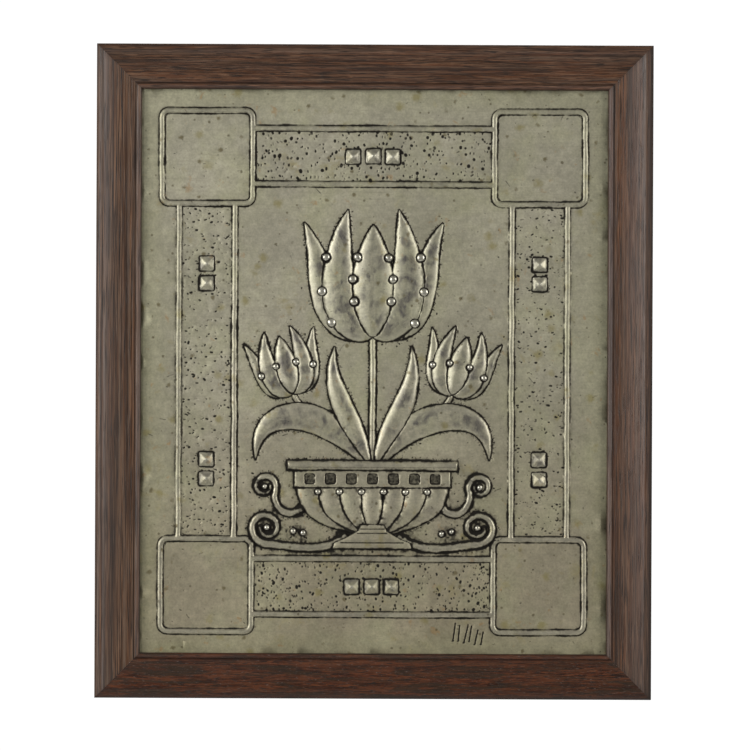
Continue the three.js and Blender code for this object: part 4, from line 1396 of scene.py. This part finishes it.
def oak_material():
    nodes = Nodes("stained_oak")
    painted_sheen, grime_and_shade, bare, red = (nodes.field(name) for name in ("painted_sheen", "grime_and_shade", "bare", "red"))
    place = nodes.vector(nodes.field("along"), nodes.field("across"), 0.0)

    def grain(along, across, detail=2.0, roughness=0.55, distortion=0.3):
        return nodes.noise(nodes.scaled(place, along, across, 1.0), 1.0, detail, roughness, distortion)

    streaks = grain(60.0, 1200.0, 4.0, 0.72, 0.6)
    fibres = grain(95.0, 1700.0)
    pores = nodes.ramp(grain(120.0, 2000.0, 2.0, 0.5), (0.56, 0.0), (0.63, 1.0))

    wood = nodes.ramp(
        streaks, (0.40, (0.009, 0.005, 0.0035)), (0.47, (0.033, 0.018, 0.011)),
        (0.53, (0.074, 0.040, 0.023)), (0.60, (0.158, 0.098, 0.068)),
    )
    for noise, start, end, strength, tint in (
        (grain(26.0, 480.0, 3.0, 0.65, 0.6), 0.44, 0.62, 0.75, (0.096, 0.045, 0.023)),
        (grain(7.0, 250.0, 2.0, 0.5, 0.5), 0.44, 0.56, 0.5, (0.054, 0.037, 0.032)),
        (fibres, 0.54, 0.68, 0.7, (0.17, 0.118, 0.09)),
        (grain(13.0, 620.0, 2.0, 0.55, 0.6), 0.52, 0.66, 0.7, (0.125, 0.094, 0.078)),
        (grain(11.0, 480.0, 2.0, 0.55, 0.6), 0.5, 0.66, 0.75, (0.021, 0.013, 0.011)),
    ):
        wood = nodes.patched(wood, noise, start, end, strength, tint)
    reddened = nodes.mix(1.0, wood, (0.55, 0.285, 0.145), "MULTIPLY")
    wood = nodes.mix(nodes.where(red, 0.95), wood, reddened)
    ruddy = nodes.ramp(grain(18.0, 300.0, 3.0, 0.65, 0.8), (0.50, 0.0), (0.60, 0.65))
    wood = nodes.mix(nodes.where(red, ruddy), wood, (0.082, 0.029, 0.013))
    dim = nodes.ramp(grain(14.0, 240.0, 3.0, 0.65, 0.8), (0.50, 0.0), (0.60, 0.75))
    wood = nodes.mix(nodes.where(red, dim), wood, (0.019, 0.013, 0.008))
    wood = nodes.mix(1.0, wood, (0.96, 0.85, 0.70), "MULTIPLY")
    flecks = nodes.ramp(grain(230.0, 1500.0, 3.0, 0.7), (0.60, 0.0), (0.70, 0.8))
    wood = nodes.mix(nodes.where(red, flecks), wood, (0.098, 0.072, 0.06))
    for mask, share, tint in (
        # A painted highlight on crest and lip, then dark open pores.
        (painted_sheen, 0.5, (0.18, 0.15, 0.14)), (pores, 0.85, (0.012, 0.008, 0.006)),
        # Darker quirk, sight edge and mitre joint, with painted shade along the outer edge; then bare wood
        # at the back.
        (grime_and_shade, 0.8, (0.013, 0.009, 0.007)), (bare, 0.45, (0.13, 0.085, 0.055)),
    ):
        wood = nodes.mix(nodes.where(mask, share), wood, tint)

    rough = nodes.ramp(streaks, (0.3, 0.32), (0.8, 0.44))
    rough = nodes.mix(grime_and_shade, rough, (0.8, 0.8, 0.8))
    nodes.shader.inputs["Specular IOR Level"].default_value = 0.25
    normal = nodes.bump(nodes.math("SUBTRACT", 1.0, pores), 0.0001, 0.5)
    return nodes.finish(wood, rough, None, nodes.bump(fibres, 0.00003, 0.6, normal))


def hardboard_material():
    nodes = Nodes("brown_hardboard")
    place = nodes.place()
    clouds = nodes.noise(place, 30.0, 4.0, 0.6)
    fibres = nodes.noise(place, 1500.0, 3.0, 0.7, 1.5)
    colour = nodes.ramp(clouds, (0.3, (0.17, 0.095, 0.05)), (0.7, (0.23, 0.135, 0.075)))
    colour = nodes.patched(colour, fibres, 0.45, 0.7, 0.5, (0.30, 0.20, 0.12))
    rough = nodes.ramp(fibres, (0.3, 0.75), (0.7, 0.9))
    return nodes.finish(colour, rough, None, nodes.bump(fibres, 0.0002, 0.5))


def point_steel_material():
    nodes = Nodes("dull_steel")
    place = nodes.place()
    clouds = nodes.noise(place, 400.0, 3.0, 0.6)
    brushed = nodes.noise(nodes.scaled(place, 1.0, 1.0, 9.0), 1500.0, 2.0, 0.5)
    colour = nodes.ramp(clouds, (0.35, (0.30, 0.29, 0.27)), (0.7, (0.46, 0.45, 0.43)))
    rough = nodes.ramp(brushed, (0.3, 0.3), (0.7, 0.5))
    return nodes.finish(colour, rough, 0.9, nodes.bump(brushed, 0.00003, 0.5))


def make_points(material):
    """The glazier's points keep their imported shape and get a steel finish."""
    for name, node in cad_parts.items():
        if "glaziers_point" in name:
            node.data.materials.clear()
            node.data.materials.append(material)


# The studio: camera, lights, floor and a white surround

PHOTO_WIDTH = 750
MM_PER_PIXEL = 0.5486
OBJECT_CENTRE_PIXEL = (374.0, 371.7)
ROLL_DEGREES = -0.25
LENS = 180.0
VIEW_PLANE = 12.0
SENSOR = 36.0
AMBIENT_STRENGTH = 0.3
WHITE_STRENGTH = 1.05
FLOOR_HALF = 0.85
FLOOR_LEVEL = -0.95


def make_camera():
    view_width = PHOTO_WIDTH * MM_PER_PIXEL
    distance = view_width * LENS / SENSOR
    shift_x = (PHOTO_WIDTH / 2 - OBJECT_CENTRE_PIXEL[0]) * MM_PER_PIXEL
    shift_z = (OBJECT_CENTRE_PIXEL[1] - PHOTO_WIDTH / 2) * MM_PER_PIXEL
    data = bpy.data.cameras.new("camera")
    data.lens = LENS
    data.sensor_width = SENSOR
    data.clip_end = 20.0
    camera = add_object("camera", data)
    camera.location = (shift_x * MM, -(distance + VIEW_PLANE) * MM, (CENTRE_Z + shift_z) * MM)
    camera.rotation_euler = (math.pi / 2, math.radians(ROLL_DEGREES), 0.0)
    bpy.context.scene.camera = camera


# Place, width and height, power, and colour
LIGHTS = {
    "left_soft": ((-1.25, -0.8, 0.15), (0.6, 1.0), 20.0, (1.0, 1.0, 0.99)),
    "key_soft": ((-0.85, -1.35, -0.05), (0.5, 0.5), 4.2, (1.0, 1.0, 0.99)),
    "right_soft": ((1.25, -0.8, 0.15), (0.6, 1.0), 17.2, (1.0, 0.99, 0.98)),
    "behind_soft": ((0.6, 1.4, 0.3), (1.0, 1.0), 14.0, (1.0, 1.0, 1.0)),
}


def make_lights():
    """Soft rectangles of light that face the middle of the panel."""
    for name, (place, size, power, colour) in LIGHTS.items():
        data = bpy.data.lights.new(name, "AREA")
        data.shape = "RECTANGLE"
        data.size, data.size_y = size
        data.energy = power
        data.color = colour
        light = add_object(name, data)
        light.location = place
        facing = Vector((0.0, 0.0, CENTRE_Z * MM)) - Vector(place)
        light.rotation_euler = facing.to_track_quat("-Z", "Y").to_euler()


def make_surround():
    """White to the camera, and a dim even light on everything else."""
    world = bpy.data.worlds.new("white_surround")
    bpy.context.scene.world = world
    world.use_nodes = True
    tree = world.node_tree
    mix = tree.nodes.new("ShaderNodeMixShader")
    path = tree.nodes.new("ShaderNodeLightPath")
    tree.links.new(path.outputs["Is Camera Ray"], mix.inputs["Fac"])
    seen = tree.nodes.new("ShaderNodeBackground")
    for i, light, strength in ((1, tree.nodes["Background"], AMBIENT_STRENGTH), (2, seen, WHITE_STRENGTH)):
        light.inputs["Color"].default_value = (1.0, 1.0, 1.0, 1.0)
        light.inputs["Strength"].default_value = strength
        tree.links.new(light.outputs[0], mix.inputs[i])
    tree.links.new(mix.outputs[0], tree.nodes["World Output"].inputs["Surface"])
    bpy.context.scene.view_settings.view_transform = "Standard"


def make_floor():
    """A plain pale floor, well below the hanging panel."""
    mesh = bpy.data.meshes.new("floor")
    corners = (-1, -1), (1, -1), (1, 1), (-1, 1)
    corners = [(x * FLOOR_HALF, y * FLOOR_HALF, FLOOR_LEVEL) for x, y in corners]
    mesh.from_pydata(corners, [], [(0, 1, 2, 3)])
    nodes = Nodes("pale_floor")
    grain = nodes.noise(nodes.place(), 40.0, 3.0, 0.6)
    colour = nodes.ramp(grain, (0.3, (0.76, 0.76, 0.75)), (0.7, (0.80, 0.80, 0.79)))
    rough = nodes.ramp(grain, (0.3, 0.7), (0.7, 0.8))
    mesh.materials.append(nodes.finish(colour, rough))
    floor = add_object("floor", mesh)


make_camera()
make_lights()
make_surround()
make_floor()
make_pewter_panel(pewter_material())
oak = oak_material()
for number, (node, place) in enumerate(RAILS.items()):
    make_rail(node, **place, number=number, material=oak)
make_backing_board(hardboard_material())
make_points(point_steel_material())
